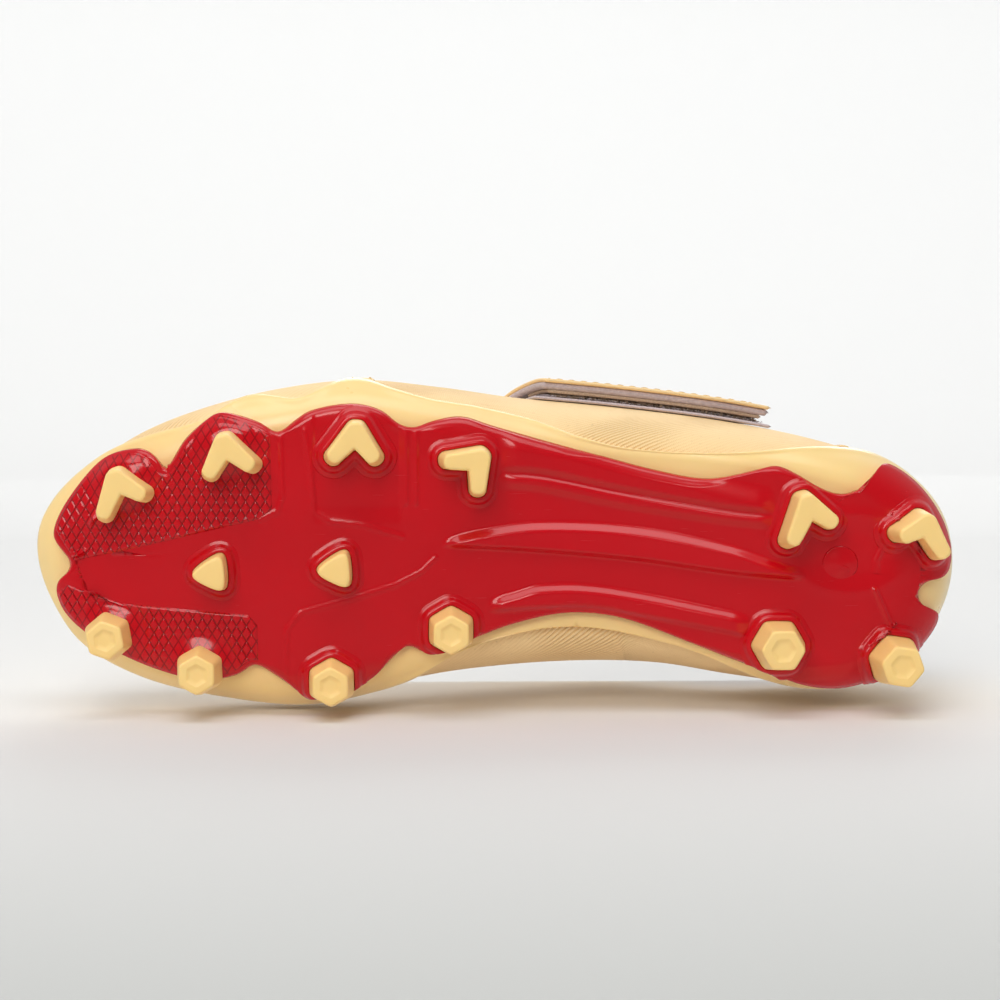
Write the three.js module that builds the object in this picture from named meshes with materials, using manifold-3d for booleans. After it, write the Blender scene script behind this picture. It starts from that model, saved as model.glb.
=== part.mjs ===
// A child's left football boot for firm ground, closed by one wide hook-and-loop strap.
// Every layer is cut from one last, a closed surface whose offsets give the outsole plate, the tray,
// the upper panels, the linings and the strap. Millimetres: +X to the toe, +Y to the outer side, +Z up.
import * as THREE from "three";
import { mergeVertices } from "three/addons/utils/BufferGeometryUtils.js";
import Module from "manifold-3d";

const wasm = await Module();
wasm.setup();

// ---------------------------------------------------------------- driving dimensions
const shoeLength = 240; // heel back to toe tip, over the tray
const ballWidth = 86.5; // widest part of the forefoot, over the tray
const instepHeight = 92; // the instep's ridge above the ground, where the throat begins
const collarHeight = 79; // back of the collar above the ground
const forefootStud = 10; // ground to plate under the ball
const heelStud = 12; // ground to plate under the heel
const gap = 0.4; // clearance between pieces that touch
const plateThickness = 2.6;
const trayThickness = 1.6;
const boardThickness = 1.6;
const sockThickness = 3.2;
const upperThickness = 2;
const stiffenerThickness = 0.8; // heel counter and toe puff
const liningThickness = 0.8;
const foamThickness = 4.2; // collar padding
const tongueThickness = 3.2;
const tongueLining = 0.7;
const throatHalf = 14; // half the width of the throat opening
const skinThickness = 0.9; // strap's outer layer
const strapLining = 1.5;
const hookThickness = 1;
const loopThickness = 1;
const collarRing = 2.4; // width of the plate's raised ring round each stud
const ringHeight = 2; // and its height above the plate
const bladeHalf = 3.1; // half the width of a blade stud's legs at the root
const hexReach = 6.6; // centre to corner of a hexagonal stud at its root
const heelHexReach = 7.3;
const triangleReach = 6.6;
const studTaper = 0.72; // tip size as a share of the root
const toeLift = 4.4; // tips of the toe pair above the ground
const centreLift = 2.4; // tips of the two centre studs above the ground

// ---------------------------------------------------------------- the last
// Its curves are drawn for a boot 240 long and 86.5 wide, and take the two sizes above.
const DRAWN_LENGTH = 240;
const DRAWN_WIDTH = 86.5;
const trayReach = gap + trayThickness;
const lastLengthScale = (shoeLength - 2 * trayReach) / DRAWN_LENGTH;
const lastWidthScale = (ballWidth - 2 * trayReach) / DRAWN_WIDTH;

/** Smooth curve through [position, value] pairs with rising positions; a period makes it closed. */
function smoothCurve(pairs, period = 0) {
  const n = pairs.length;
  const knot = (i) => {
    if (!period) return pairs[Math.min(Math.max(i, 0), n - 1)];
    const turn = Math.floor(i / n);
    const [p, v] = pairs[i - turn * n];
    return [p + turn * period, v];
  };
  const slope = (i) => {
    const [p0, v0] = knot(i - 1);
    const [p1, v1] = knot(i + 1);
    return p1 > p0 ? (v1 - v0) / (p1 - p0) : 0;
  };
  return (position) => {
    const start = pairs[0][0];
    const at = period ? ((((position - start) % period) + period) % period) + start : position;
    let i = 0;
    while (i < n - (period ? 1 : 2) && knot(i + 1)[0] <= at) i += 1;
    const [p0, v0] = knot(i);
    const [p1, v1] = knot(i + 1);
    const span = p1 - p0;
    const s = Math.min(Math.max((at - p0) / span, 0), 1);
    const [s2, s3] = [s * s, s * s * s];
    const ends = v0 * (2 * s3 - 3 * s2 + 1) + v1 * (3 * s2 - 2 * s3);
    return ends + slope(i) * span * (s3 - 2 * s2 + s) + slope(i + 1) * span * (s3 - s2);
  };
}

// Widest outline of the upper: the outer side from heel to toe, then the inner side back to the heel.
const outerOutline = [
  [0, -8.5], [2.5, 3.5], [10, 13], [20, 19.8], [36, 25.2], [60, 30], [90, 33.8], [115, 36.4],
  [136, 39.6], [157, 41.7], [178, 39.4], [199, 33.8], [215, 27], [228, 17.5], [236.5, 8],
];
const innerOutline = [
  [240, -3], [237, -16], [229.6, -27.9], [214, -36.8], [193, -42.2], [172, -44.8], [152, -41.8],
  [131, -38.6], [105, -37], [78, -37.4], [57, -40.4], [37, -42.5], [21.4, -39.6], [8, -29.5], [1.5, -18],
];
const turnAt = (x) => Math.acos(1 - (2 * x) / DRAWN_LENGTH);
const outlineX = (turn) => (DRAWN_LENGTH / 2) * (1 - Math.cos(turn));
const outlineY = smoothCurve(
  [
    ...outerOutline.map(([x, y]) => [turnAt(x), y]),
    ...innerOutline.map(([x, y]) => [2 * Math.PI - turnAt(x), y]),
  ],
  2 * Math.PI,
);

// Curves along the boot, from the heel at 0 to the toe at 1.
const spineY = smoothCurve([[0.1, -8.8], [0.25, -5], [0.4, -1.4], [0.66, -1.6], [0.85, -4], [1, -5]]);
const soleRise = smoothCurve([
  [0, 4], [0.12, 0.6], [0.22, 0.4], [0.38, 3.6], [0.54, 2], [0.66, 0], [0.78, 0.3], [0.9, 3.4], [1, 9],
]);
const edgeInset = smoothCurve([[0, 11], [0.28, 12], [0.42, 13], [0.54, 12], [0.66, 11], [1, 11]]);
const edgeHeight = smoothCurve([[0, 23], [0.15, 22], [0.4, 27], [0.66, 17], [0.85, 13], [1, 10]]);
const domePower = smoothCurve([[0, 2.6], [0.3, 2.5], [0.5, 2.3], [0.8, 2.15], [1, 2.1]]);
const ridgeRise = smoothCurve([
  [0.14, 20], [0.25, 17], [0.33, 11], [0.41, 0], [0.5, -12], [0.58, -22], [0.67, -32], [0.78, -39],
  [0.88, -42.5], [1, -45],
]);

const soleLayers = gap * 2 + trayThickness + plateThickness;
const smoothStep = (from, to, at) => {
  const s = Math.min(Math.max((at - from) / (to - from), 0), 1);
  return s * s * (3 - 2 * s);
};
const plateZ = (u) => heelStud + (forefootStud - heelStud) * smoothStep(0.2, 0.6, u) + soleRise(u);
const bottomZ = (u) => plateZ(u) + soleLayers;
const ridgeZ = (u) => instepHeight + ridgeRise(u);

// The last's centre line, which the whole outline shrinks towards, below and above.
const SPINE_START = 35;
const SPINE_SHARE = 0.7375;
const WAIST_LEVEL = 0.25; // level of the widest outline
const CENTRE_LINE = 0.995; // past this level the normal is shared by both sides

/** Point of the last. turn goes round it: 0 at the heel, pi at the toe, the outer side first.
 * level goes up it: -1 bottom centre line, 0 lower edge, WAIST_LEVEL widest outline, 1 ridge. */
function lastPoint(turn, level) {
  const x = outlineX(turn);
  const y = outlineY(turn);
  const spineX = SPINE_START + SPINE_SHARE * x;
  const target = [spineX, spineY(spineX / DRAWN_LENGTH)];
  const reach = Math.hypot(target[0] - x, target[1] - y);
  const inward = (share) => [x + (target[0] - x) * share, y + (target[1] - y) * share];
  const edge = edgeInset(x / DRAWN_LENGTH) / reach;
  const edgeZ = bottomZ(inward(edge)[0] / DRAWN_LENGTH);
  const rise = edgeHeight(x / DRAWN_LENGTH);
  let plan;
  let z;
  if (level <= 0) {
    plan = inward(edge + (1 - edge) * -level);
    z = bottomZ(plan[0] / DRAWN_LENGTH);
  } else if (level <= WAIST_LEVEL) {
    const angle = (level / WAIST_LEVEL) * (Math.PI / 2);
    plan = inward(edge * (1 - Math.sin(angle)));
    z = edgeZ + rise * (1 - Math.cos(angle));
  } else {
    const angle = ((level - WAIST_LEVEL) / (1 - WAIST_LEVEL)) * (Math.PI / 2);
    const power = 2 / domePower(x / DRAWN_LENGTH);
    plan = inward(1 - Math.max(Math.cos(angle), 0) ** power);
    z = edgeZ + rise + (ridgeZ(plan[0] / DRAWN_LENGTH) - edgeZ - rise) * Math.sin(angle) ** power;
  }
  return new THREE.Vector3(trayReach + plan[0] * lastLengthScale, plan[1] * lastWidthScale, z);
}

/** Unit normal of the last, pointing out of it. */
function lastNormal(turn, level) {
  if (Math.abs(level) > CENTRE_LINE) {
    const near = Math.sign(level) * CENTRE_LINE;
    return lastNormal(turn, near).add(lastNormal(2 * Math.PI - turn, near)).normalize();
  }
  const step = 0.002;
  const up = lastPoint(turn, level + step).sub(lastPoint(turn, level - step));
  const round = lastPoint(turn + step, level).sub(lastPoint(turn - step, level));
  return round.cross(up).multiplyScalar(-1).normalize();
}

const offsetPoint = (turn, level, offset) =>
  lastPoint(turn, level).addScaledVector(lastNormal(turn, level), offset);

// Offsets of each layer's two faces from the last, outwards above 0.
const trayFaces = [trayReach, gap];
const plateFaces = [trayReach + gap + plateThickness, trayReach + gap];
const upperFaces = [0, -upperThickness];
const stiffenerOuter = -upperThickness - gap;
const stiffenerFaces = [stiffenerOuter, stiffenerOuter - stiffenerThickness];
const liningOuter = stiffenerFaces[1] - gap;
const liningFaces = [liningOuter, liningOuter - liningThickness];
const foamFaces = [stiffenerOuter - gap, stiffenerOuter - gap - foamThickness];
const collarLiningFaces = [foamFaces[1] - gap, foamFaces[1] - gap - liningThickness];
const boardFaces = [-gap, -gap - boardThickness];
const sockFaces = [boardFaces[1] - gap, boardFaces[1] - gap - sockThickness];

// ---------------------------------------------------------------- solids
function toSolid(geometry) {
  const plain = new THREE.BufferGeometry();
  plain.setAttribute("position", geometry.getAttribute("position"));
  if (geometry.index) plain.setIndex(geometry.index);
  const merged = mergeVertices(plain, 1e-3);
  const vertProperties = new Float32Array(merged.attributes.position.array);
  const triVerts = new Uint32Array(merged.index.array);
  return new wasm.Manifold(new wasm.Mesh({ numProp: 3, vertProperties, triVerts }));
}

function toGeometry(solid) {
  const mesh = solid.getMesh();
  const geometry = new THREE.BufferGeometry();
  geometry.setAttribute("position", new THREE.BufferAttribute(new Float32Array(mesh.vertProperties), 3));
  geometry.setIndex(new THREE.BufferAttribute(new Uint32Array(mesh.triVerts), 1));
  return geometry;
}

const facesToSolid = (points, triangles) => {
  const geometry = new THREE.BufferGeometry();
  const numbers = points.flatMap((point) => point.toArray());
  geometry.setAttribute("position", new THREE.Float32BufferAttribute(numbers, 3));
  geometry.setIndex(triangles);
  return toSolid(geometry);
};

/** Closed sheet between two grids of points, outer[i][j] and inner[i][j]. With loop, j runs all the way
 * round. A first or last row that lies folded on the centre line has no rim. */
function sheet(outer, inner, { loop = false, rims = [true, true] } = {}) {
  const rows = outer.length;
  const columns = outer[0].length;
  const id = (face, i, j) => face * rows * columns + i * columns + (j % columns);
  const triangles = [];
  const quad = (a, b, c, d) => triangles.push(a, c, b, a, d, c);
  const strips = loop ? columns : columns - 1;
  const end = rows - 1;
  for (let i = 0; i < end; i += 1) {
    for (let j = 0; j < strips; j += 1) {
      quad(id(0, i, j), id(0, i, j + 1), id(0, i + 1, j + 1), id(0, i + 1, j));
      quad(id(1, i, j), id(1, i + 1, j), id(1, i + 1, j + 1), id(1, i, j + 1));
    }
  }
  for (let j = 0; j < strips; j += 1) {
    if (rims[0]) quad(id(0, 0, j + 1), id(0, 0, j), id(1, 0, j), id(1, 0, j + 1));
    if (rims[1]) quad(id(0, end, j), id(0, end, j + 1), id(1, end, j + 1), id(1, end, j));
  }
  const side = columns - 1;
  for (let i = 0; i < end && !loop; i += 1) {
    quad(id(0, i, 0), id(0, i + 1, 0), id(1, i + 1, 0), id(1, i, 0));
    quad(id(0, i + 1, side), id(0, i, side), id(1, i, side), id(1, i + 1, side));
  }
  return facesToSolid([...outer.flat(), ...inner.flat()], triangles);
}

/** Sheet on the last between two layer faces. place(row, column) gives [turn, level] for each entry of
 * the two lists, and faces the offsets there. */
function layer(rows, columns, place, faces, options) {
  const facesAt = typeof faces === "function" ? faces : () => faces;
  const grid = (side) =>
    rows.map((row) =>
      columns.map((column) => {
        const [turn, level] = place(row, column);
        return offsetPoint(turn, level, facesAt(row, column)[side]);
      }),
    );
  return sheet(grid(0), grid(1), options);
}
const shares = (steps) => Array.from({ length: steps + 1 }, (_, k) => k / steps);

/** Upright prism of an outline, from one height to another. */
function prism(outline, from, to) {
  const shape = new THREE.Shape(outline);
  const geometry = new THREE.ExtrudeGeometry(shape, { depth: to - from, bevelEnabled: false });
  geometry.translate(0, 0, from);
  return toSolid(geometry);
}

// ---------------------------------------------------------------- places on the last
const mix = (from, to, share) => from + (to - from) * share;
const turnOn = (side, x) => (side > 0 ? turnAt(x) : 2 * Math.PI - turnAt(x));

/** Last value between low and high for which test holds. */
function bisect(low, high, test) {
  let [from, to] = [low, high];
  for (let k = 0; k < 30; k += 1) {
    const middle = (from + to) / 2;
    if (test(middle)) from = middle;
    else to = middle;
  }
  return from;
}
const levelAtHeight = (turn, z) => bisect(0.02, CENTRE_LINE, (level) => lastPoint(turn, level).z < z);
function levelFromRidge(turn, distance) {
  const ridge = lastPoint(turn, 1);
  const away = (point) => Math.hypot(point.x - ridge.x, point.y - ridge.y);
  return bisect(WAIST_LEVEL, 1, (level) => away(lastPoint(turn, level)) > distance);
}

const vampSeam = 156; // seam between vamp and quarters, along the outline
const heelSeam = 26; // seam between quarters and heel panel
const throatStart = 92;
const throatEnd = SPINE_START + SPINE_SHARE * vampSeam;
const seamHalf = (2.6 * gap) / shoeLength; // half a seam's gap, as a turn
const collarDrop = smoothCurve([
  [0, 0], [14, -1], [34, -11.5], [52, -16], [66, -11], [80, 3], [92, 26],
]);

function throatWidth(spineX) {
  const s = Math.max((spineX - throatStart) / (throatEnd - throatStart), -0.4);
  return throatHalf * Math.sqrt(Math.max(1 - Math.sign(s) * Math.abs(s) ** 3.2, 0.02));
}

/** Level of the upper's top edge: the collar at the back, and the throat's side in front of it. */
function topLevel(turn, drop = 0) {
  const x = outlineX(turn);
  const collar = levelAtHeight(turn, collarHeight + collarDrop(x) - drop);
  if (x < 60) return collar;
  return Math.min(collar, levelFromRidge(turn, throatWidth(SPINE_START + SPINE_SHARE * x) + drop));
}

// All layers share the turns of their columns, so that their facets lie over each other.
const FACET_LENGTH = 10.9;
const LOOP = 2 * Math.ceil((shoeLength + ballWidth) / FACET_LENGTH);
const CURVED_ROWS = Math.ceil(ballWidth / 14.5); // rows up the rounded lower edge
const bunching = 0.12; // columns stand closer together at heel and toe
const loopTurn = (k) => {
  const turn = (k * 2 * Math.PI) / LOOP;
  return turn - bunching * Math.sin(2 * turn);
};
const loopTurns = Array.from({ length: LOOP }, (_, k) => loopTurn(k));
function turnsBetween(from, to) {
  const margin = 0.02;
  const inside = (turn) => turn > from + margin && turn < to - margin;
  const nearby = Array.from({ length: 2 * LOOP }, (_, k) => loopTurn(k - LOOP / 2));
  return [from, ...nearby.filter(inside), to];
}

/** Panel of the upper between two turns, from a low level to its top edge. Its rows are below 0 on the
 * rounded lower edge and above 0 on the wall. */
function panel(from, to, low, top, wallRows, faces, options) {
  const rows = [...shares(CURVED_ROWS - 1).map((share) => share - 1), ...shares(wallRows).slice(1)];
  const place = (row, turn) => [
    turn,
    row <= 0 ? mix(low, WAIST_LEVEL, row + 1) : mix(WAIST_LEVEL, top(turn), row),
  ];
  return layer(rows, turnsBetween(from, to), place, faces, options);
}

// ---------------------------------------------------------------- plate and tray
const FLAT_ROWS = [-1, -0.4, 0];
const curvedShares = shares(CURVED_ROWS).slice(1).map((share) => share ** 1.2);
/** Bowl under the last: flat rows, then rows up the rounded edge to its rim. */
function bowl(rim, faces) {
  const place = (row, turn) => [turn, row <= 0 ? row : row * rim(turn)];
  const rows = [...FLAT_ROWS, ...curvedShares];
  return layer(rows, loopTurns, place, faces, { loop: true, rims: [false, true] });
}

// The tray cups the upper. Its wavy rim is high at forefoot and heel and low at the waist.
const trayRim = smoothCurve(
  [
    [0, 0.24], [0.5, 0.23], [0.95, 0.15], [1.25, 0.12], [1.55, 0.15], [1.78, 0.235], [2.05, 0.2],
    [2.35, 0.235], [2.7, 0.2], [Math.PI, 0.22], [3.6, 0.2], [3.95, 0.235], [4.2, 0.2], [4.45, 0.2],
    [4.7, 0.12], [5.05, 0.11], [5.4, 0.15], [5.8, 0.23],
  ],
  2 * Math.PI,
);
const tray = bowl(trayRim, trayFaces);

// Scalloped edge of the plate, seen from above, from the toe round the outer side.
const plateOutline = [
  [235, 0.5], [233.5, 6], [229.5, 12.5], [225, 18], [221, 21.5], [217, 23], [211.5, 23.5], [208, 21.5],
  [205, 17.5], [202.5, 21.5], [200, 26], [193, 32.5], [190, 33], [181, 30], [176.5, 27], [172.5, 30],
  [168.5, 33], [157.5, 35], [150, 33], [145.5, 29], [141.5, 28.3], [138, 30], [130, 31.7], [123, 29.5],
  [110, 25.5], [95, 21], [80, 17], [67.5, 15], [56, 17], [50, 18.7], [46, 17], [38.5, 12.6], [33, 11],
  [27.5, 12.8], [23, 18], [20.5, 19.5], [13.5, 15.5], [8, 9.5], [4, 2], [2.6, -6], [4.5, -10.5],
  [11, -12], [13, -14.5], [11, -18], [6, -20.5], [6.5, -24], [10, -29], [17, -35.5], [24, -38.5],
  [33, -40.3], [43, -39], [54.5, -34.5], [75, -25.8], [90, -20.6], [102.5, -19.4], [115, -21.6],
  [126, -25.4], [133.5, -29.5], [138.5, -29.8], [143.5, -27.2], [147.5, -30.5], [152.5, -36.5],
  [160.5, -40.5], [170, -41], [175, -36.8], [182.5, -31.8], [187, -35], [196, -37], [206, -35],
  [217.5, -30.4], [226, -25.4], [232, -20], [234.5, -14.5], [234, -11.5], [230.5, -8.5], [230, -6],
  [232.5, -3.2],
];
const onSole = ([x, y]) => [(x * shoeLength) / DRAWN_LENGTH, (y * ballWidth) / DRAWN_WIDTH];
const plateEdge = plateOutline.map((point) => new THREE.Vector2(...onSole(point))).reverse();

/** The last's lower part grown by an offset, filled, as a cutter for whatever stands under it. */
function filledLast(offset) {
  const levels = [...FLAT_ROWS, ...curvedShares.map((share) => share * WAIST_LEVEL), 0.38, 0.5];
  const rows = levels.length - 1;
  const grid = levels.map((level) => loopTurns.map((turn) => offsetPoint(turn, level, offset)));
  const lid = grid[rows].reduce((sum, point) => sum.add(point), new THREE.Vector3());
  const points = [...grid.flat(), lid.divideScalar(LOOP)];
  const id = (i, j) => i * LOOP + (j % LOOP);
  const triangles = [];
  for (let j = 0; j < LOOP; j += 1) {
    for (let i = 0; i < rows; i += 1) {
      triangles.push(id(i, j), id(i + 1, j + 1), id(i, j + 1), id(i, j), id(i + 1, j), id(i + 1, j + 1));
    }
    triangles.push(id(rows, j + 1), id(rows, j), points.length - 1);
  }
  return facesToSolid(points, triangles);
}

// ---------------------------------------------------------------- studs
const arc = (x, y, radius, from, to, steps) =>
  Array.from({ length: steps + 1 }, (_, k) => {
    const angle = mix(from, to, k / steps);
    return [x + radius * Math.cos(angle), y + radius * Math.sin(angle)];
  });

/** One leg of a blade stud, a bar with round ends from the apex. */
function legOutline({ at, legs, facing, spread }, side, half, share) {
  const angle = facing + side * spread;
  const leg = legs[side > 0 ? 0 : 1] * share;
  const end = [Math.cos(angle) * leg, Math.sin(angle) * leg];
  const quarter = Math.PI / 2;
  const outline = [
    ...arc(0, 0, half, angle + quarter, angle + 3 * quarter, 4),
    ...arc(...end, half, angle - quarter, angle + quarter, 3),
  ];
  return outline.map(([x, y]) => new THREE.Vector2(at[0] + x, at[1] + y));
}

/** Many-sided stud with its corners cut off. */
function cutOutline({ at, facing, sides }, reach) {
  const corner = (k) => {
    const angle = facing + (k * 2 * Math.PI) / sides;
    return [reach * Math.cos(angle), reach * Math.sin(angle)];
  };
  const cut = sides === 3 ? 0.16 : 0.12;
  const outline = Array.from({ length: sides }, (_, k) => k).flatMap((k) => {
    const [before, here, after] = [corner(k - 1), corner(k), corner(k + 1)];
    const toward = (other) => [mix(here[0], other[0], cut), mix(here[1], other[1], cut)];
    return [toward(before), toward(after)];
  });
  return outline.map(([x, y]) => new THREE.Vector2(at[0] + x, at[1] + y));
}

/** Outlines that make up a stud, at a share of its root size and grown outwards. */
function studOutlines(stud, grow, share = 1) {
  if (!stud.legs) return [cutOutline(stud, stud.reach * share + grow)];
  return [1, -1].map((side) => legOutline(stud, side, bladeHalf * share + grow, share));
}

const degrees = Math.PI / 180;
const blade = (x, y, facing, spread, legs, lift = 0) => ({
  at: onSole([x, y]), facing: facing * degrees, spread: spread * degrees, legs, lift,
});
const cutStud = (x, y, facing, sides, reach, lift = 0) => ({
  at: onSole([x, y]), facing: facing * degrees, sides, reach, lift,
});
const studs = {
  stud_outer_1: blade(216.4, 15.3, -110, 38, [8.6, 6.6], toeLift),
  stud_outer_2: blade(189.1, 24.3, -102, 37, [7.4, 7.6]),
  stud_outer_3: blade(156.6, 27.2, -87, 37, [7.6, 7]),
  stud_outer_4: blade(125.8, 20.5, -45.5, 39.5, [7.2, 6.8]),
  stud_outer_5: blade(43.6, 9.1, -106, 36, [9.4, 7]),
  stud_outer_6: blade(13.8, 4.1, -74, 44, [5.6, 8]),
  stud_centre_1: cutStud(193, -8, 0, 3, triangleReach, centreLift),
  stud_centre_2: cutStud(161.8, -7.2, 0, 3, triangleReach, centreLift),
  stud_inner_1: cutStud(219.5, -24.7, 20, 6, hexReach, toeLift),
  stud_inner_2: cutStud(196.3, -33, 30, 6, hexReach),
  stud_inner_3: cutStud(163, -36, 30, 6, hexReach),
  stud_inner_4: cutStud(132.8, -23.1, 30, 6, hexReach),
  stud_inner_5: cutStud(49.6, -27.3, 0, 6, heelHexReach),
  stud_inner_6: cutStud(19.5, -31.5, 10, 6, heelHexReach),
};

/** Solid through rings of equal outlines, one above the other. */
function loft(rings) {
  const count = rings[0].length;
  const triangles = [];
  for (let i = 0; i < rings.length - 1; i += 1) {
    for (let j = 0; j < count; j += 1) {
      const [a, b] = [i * count + j, i * count + ((j + 1) % count)];
      triangles.push(a, b, b + count, a, b + count, a + count);
    }
  }
  const top = (rings.length - 1) * count;
  for (let j = 1; j < count - 1; j += 1) triangles.push(0, j + 1, j, top, top + j, top + j + 1);
  return facesToSolid(rings.flat(), triangles);
}
const allOf = (solids) => solids.reduce((sum, solid) => sum.add(solid));

/** Tapered stud: straight inside the plate's ring, then narrowing to its tip. */
const ROOT_DEPTH = 12;
function studSolid(stud) {
  const surface = plateZ(stud.at[0] / shoeLength);
  const heights = [[stud.lift, studTaper], [surface - ringHeight, 1], [surface + ROOT_DEPTH, 1]];
  const parts = studOutlines(stud, 0).map((_, k) =>
    loft(
      heights.map(([z, share]) =>
        studOutlines(stud, 0, share)[k].map((p) => new THREE.Vector3(p.x, p.y, z)),
      ),
    ),
  );
  return allOf(parts);
}

const rootCutter = filledLast(plateFaces[0] + gap);
const studSolids = Object.entries(studs).map(([name, stud]) => {
  return [name, studSolid(stud).subtract(rootCutter)];
});

// The plate, with a raised ring round each stud.
const PRISM_TOP = 60;
/** Prisms round every stud, grown outwards, from a depth below the plate to a height above it. */
const studPrisms = (grow, depth, height) =>
  allOf(
    Object.values(studs).flatMap((stud) => {
      const surface = plateZ(stud.at[0] / shoeLength);
      return studOutlines(stud, grow).map((outline) => prism(outline, surface - depth, surface + height));
    }),
  );
const ringCutter = filledLast(plateFaces[1] + plateThickness / 2);
const rings = studPrisms(gap + collarRing, ringHeight, plateThickness).subtract(ringCutter);
const plate = bowl(() => WAIST_LEVEL * 0.9, plateFaces)
  .intersect(prism(plateEdge, 0, PRISM_TOP))
  .add(rings)
  .subtract(studPrisms(gap, 2 * ringHeight, ROOT_DEPTH).subtract(filledLast(plateFaces[0])));

// ---------------------------------------------------------------- board and sockliner
const flatLayer = (edge, faces) =>
  layer([-1, -0.5, -edge], loopTurns, (level, turn) => [turn, level], faces, {
    loop: true,
    rims: [false, true],
  });
const lastingBoard = flatLayer(0.1, boardFaces);
const sockliner = flatLayer(0.18, sockFaces);

// ---------------------------------------------------------------- upper
const lastingLevel = -0.06;
const [heelTurn, vampTurn] = [turnAt(heelSeam), turnAt(vampSeam)];
const vampTurns = [vampTurn + seamHalf, 2 * Math.PI - vampTurn - seamHalf];
const onSide = (side, from, to) => (side > 0 ? [from, to] : [2 * Math.PI - to, 2 * Math.PI - from]);
const quarter = (side) =>
  panel(...onSide(side, heelTurn + seamHalf, vampTurn - seamHalf), lastingLevel, topLevel, 4, upperFaces);
const heelPanel = panel(-heelTurn + seamHalf, heelTurn - seamHalf, lastingLevel, topLevel, 4, upperFaces);
const overRidge = { rims: [true, false] };
const VAMP_ROWS = 5;
const vamp = panel(...vampTurns, lastingLevel, () => 1, VAMP_ROWS, upperFaces, overRidge);
const stayHalf = 0.1; // half the heel stay's width, as a turn
const heelStay = layer(
  shares(5),
  [-stayHalf, 0, stayHalf],
  (share, turn) => [turn, mix(WAIST_LEVEL + 0.03, topLevel(turn) - 0.02, share)],
  [gap + 1, gap],
);

// ---------------------------------------------------------------- stiffeners, linings and padding
const collarBand = 14; // height of the padded band
const liningLow = 0.02;
const bandLow = (turn) => topLevel(turn, collarBand);
const belowBand = (turn) => bandLow(turn) - 0.02;
const counterTurn = 0.95;
const heelCounter = panel(-counterTurn, counterTurn, lastingLevel, belowBand, 2, stiffenerFaces);
const puffTurn = 1;
const puffRows = 4; // of the vamp's rows above the widest outline
const puffTop = mix(WAIST_LEVEL, 1, puffRows / VAMP_ROWS);
const puffEnds = [Math.PI - puffTurn, Math.PI + puffTurn];
const toePuff = panel(...puffEnds, lastingLevel, () => puffTop, puffRows, stiffenerFaces);
const liningSeam = 75; // front end of the padded band, along the outline
const bandTurn = turnAt(liningSeam);
const liningTop = (turn) => {
  const x = outlineX(turn);
  if (x < liningSeam) return belowBand(turn);
  return mix(belowBand(turn), topLevel(turn), smoothStep(liningSeam + 10, liningSeam + 32, x));
};
const quarterLining = (side) =>
  panel(...onSide(side, seamHalf, vampTurn - seamHalf), liningLow, liningTop, 2, liningFaces);
const vampLining = panel(...vampTurns, liningLow, () => 1, VAMP_ROWS, liningFaces, overRidge);
const bandSheet = (faces) =>
  layer(
    shares(3),
    turnsBetween(-bandTurn, bandTurn),
    (share, turn) => [turn, mix(bandLow(turn), topLevel(turn) - 0.004, share)],
    faces,
  );
const collarPadding = bandSheet(foamFaces);
const collarLining = bandSheet(collarLiningFaces);

// ---------------------------------------------------------------- pieces that cross the ridge
/** Place on the last from a distance x along the outline and w, which is 0 on the ridge and grows to
 * 1 at the lower edge, positive on the outer side. */
const acrossRidge = (x, w) => [turnOn(w, x), 1 - Math.abs(w)];

// The tongue fills the throat, and is a little narrower than it, so that it lifts out.
const tongueBack = 56;
const tongueFront = vampSeam - 9;
const tongueSide = (x) => {
  const spineX = SPINE_START + SPINE_SHARE * x;
  const half = throatWidth(spineX + 6) - 1.2;
  return 1 - levelFromRidge(turnAt(x), half);
};
const tongueRound = (share) => Math.sqrt(Math.max(1 - (1 - Math.min(share / 0.18, 1)) ** 2.4, 0.2));
const tongueSheet = (faces) =>
  layer(
    shares(6),
    shares(10),
    (across, along) => {
      const x = mix(tongueFront, tongueBack, along);
      return acrossRidge(x, (2 * across - 1) * tongueSide(x) * tongueRound(1 - along));
    },
    faces,
  );
const tongue = tongueSheet([0, -tongueThickness]);
const tongueInside = tongueSheet([-tongueThickness - gap, -tongueThickness - gap - tongueLining]);

// The strap runs from a line of stitching on the inner side, over the ridge and down the outer side.
const strapHinge = -0.46; // where it lifts, on the inner side
const strapFold = 0.57; // where its end peels back, on the outer side
const strapEnd = 0.735;
const hingeGap = 0.004;
const strapBack = smoothCurve([
  [-0.75, 84], [-0.46, 80], [-0.2, 77.5], [0, 77], [0.2, 75], [0.4, 69], [0.57, 59], [0.74, 47],
]);
const strapFront = smoothCurve([
  [-0.75, 126], [-0.46, 131], [-0.2, 133.5], [0, 134], [0.2, 133], [0.4, 129], [0.57, 122], [0.74, 113],
]);
/** Offset of the strap's inner face: close on the ridge, out over the tapes on the outer side. */
const baseLift = gap + 0.3;
const tapeLift = gap * 3 + loopThickness + hookThickness;
const strapLift = (w) => mix(baseLift, tapeLift, smoothStep(0.25, strapFold - 0.04, w));

const STRAP_ROWS = 5;
/** Part of the strap between two ends, each a value of w for a share across the strap, with its lower
 * face at bottom(w). */
function strapSheet([from, to], columns, bottom, thickness, inset = 0) {
  const across = (share, along) => mix(from(share), to(share), along);
  const place = (share, along) => {
    const w = across(share, along);
    return acrossRidge(mix(strapBack(w) + inset, strapFront(w) - inset, share), w);
  };
  return layer(shares(STRAP_ROWS), shares(columns), place, (share, along) => {
    const inner = bottom(across(share, along));
    return [inner + thickness, inner];
  });
}
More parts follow.
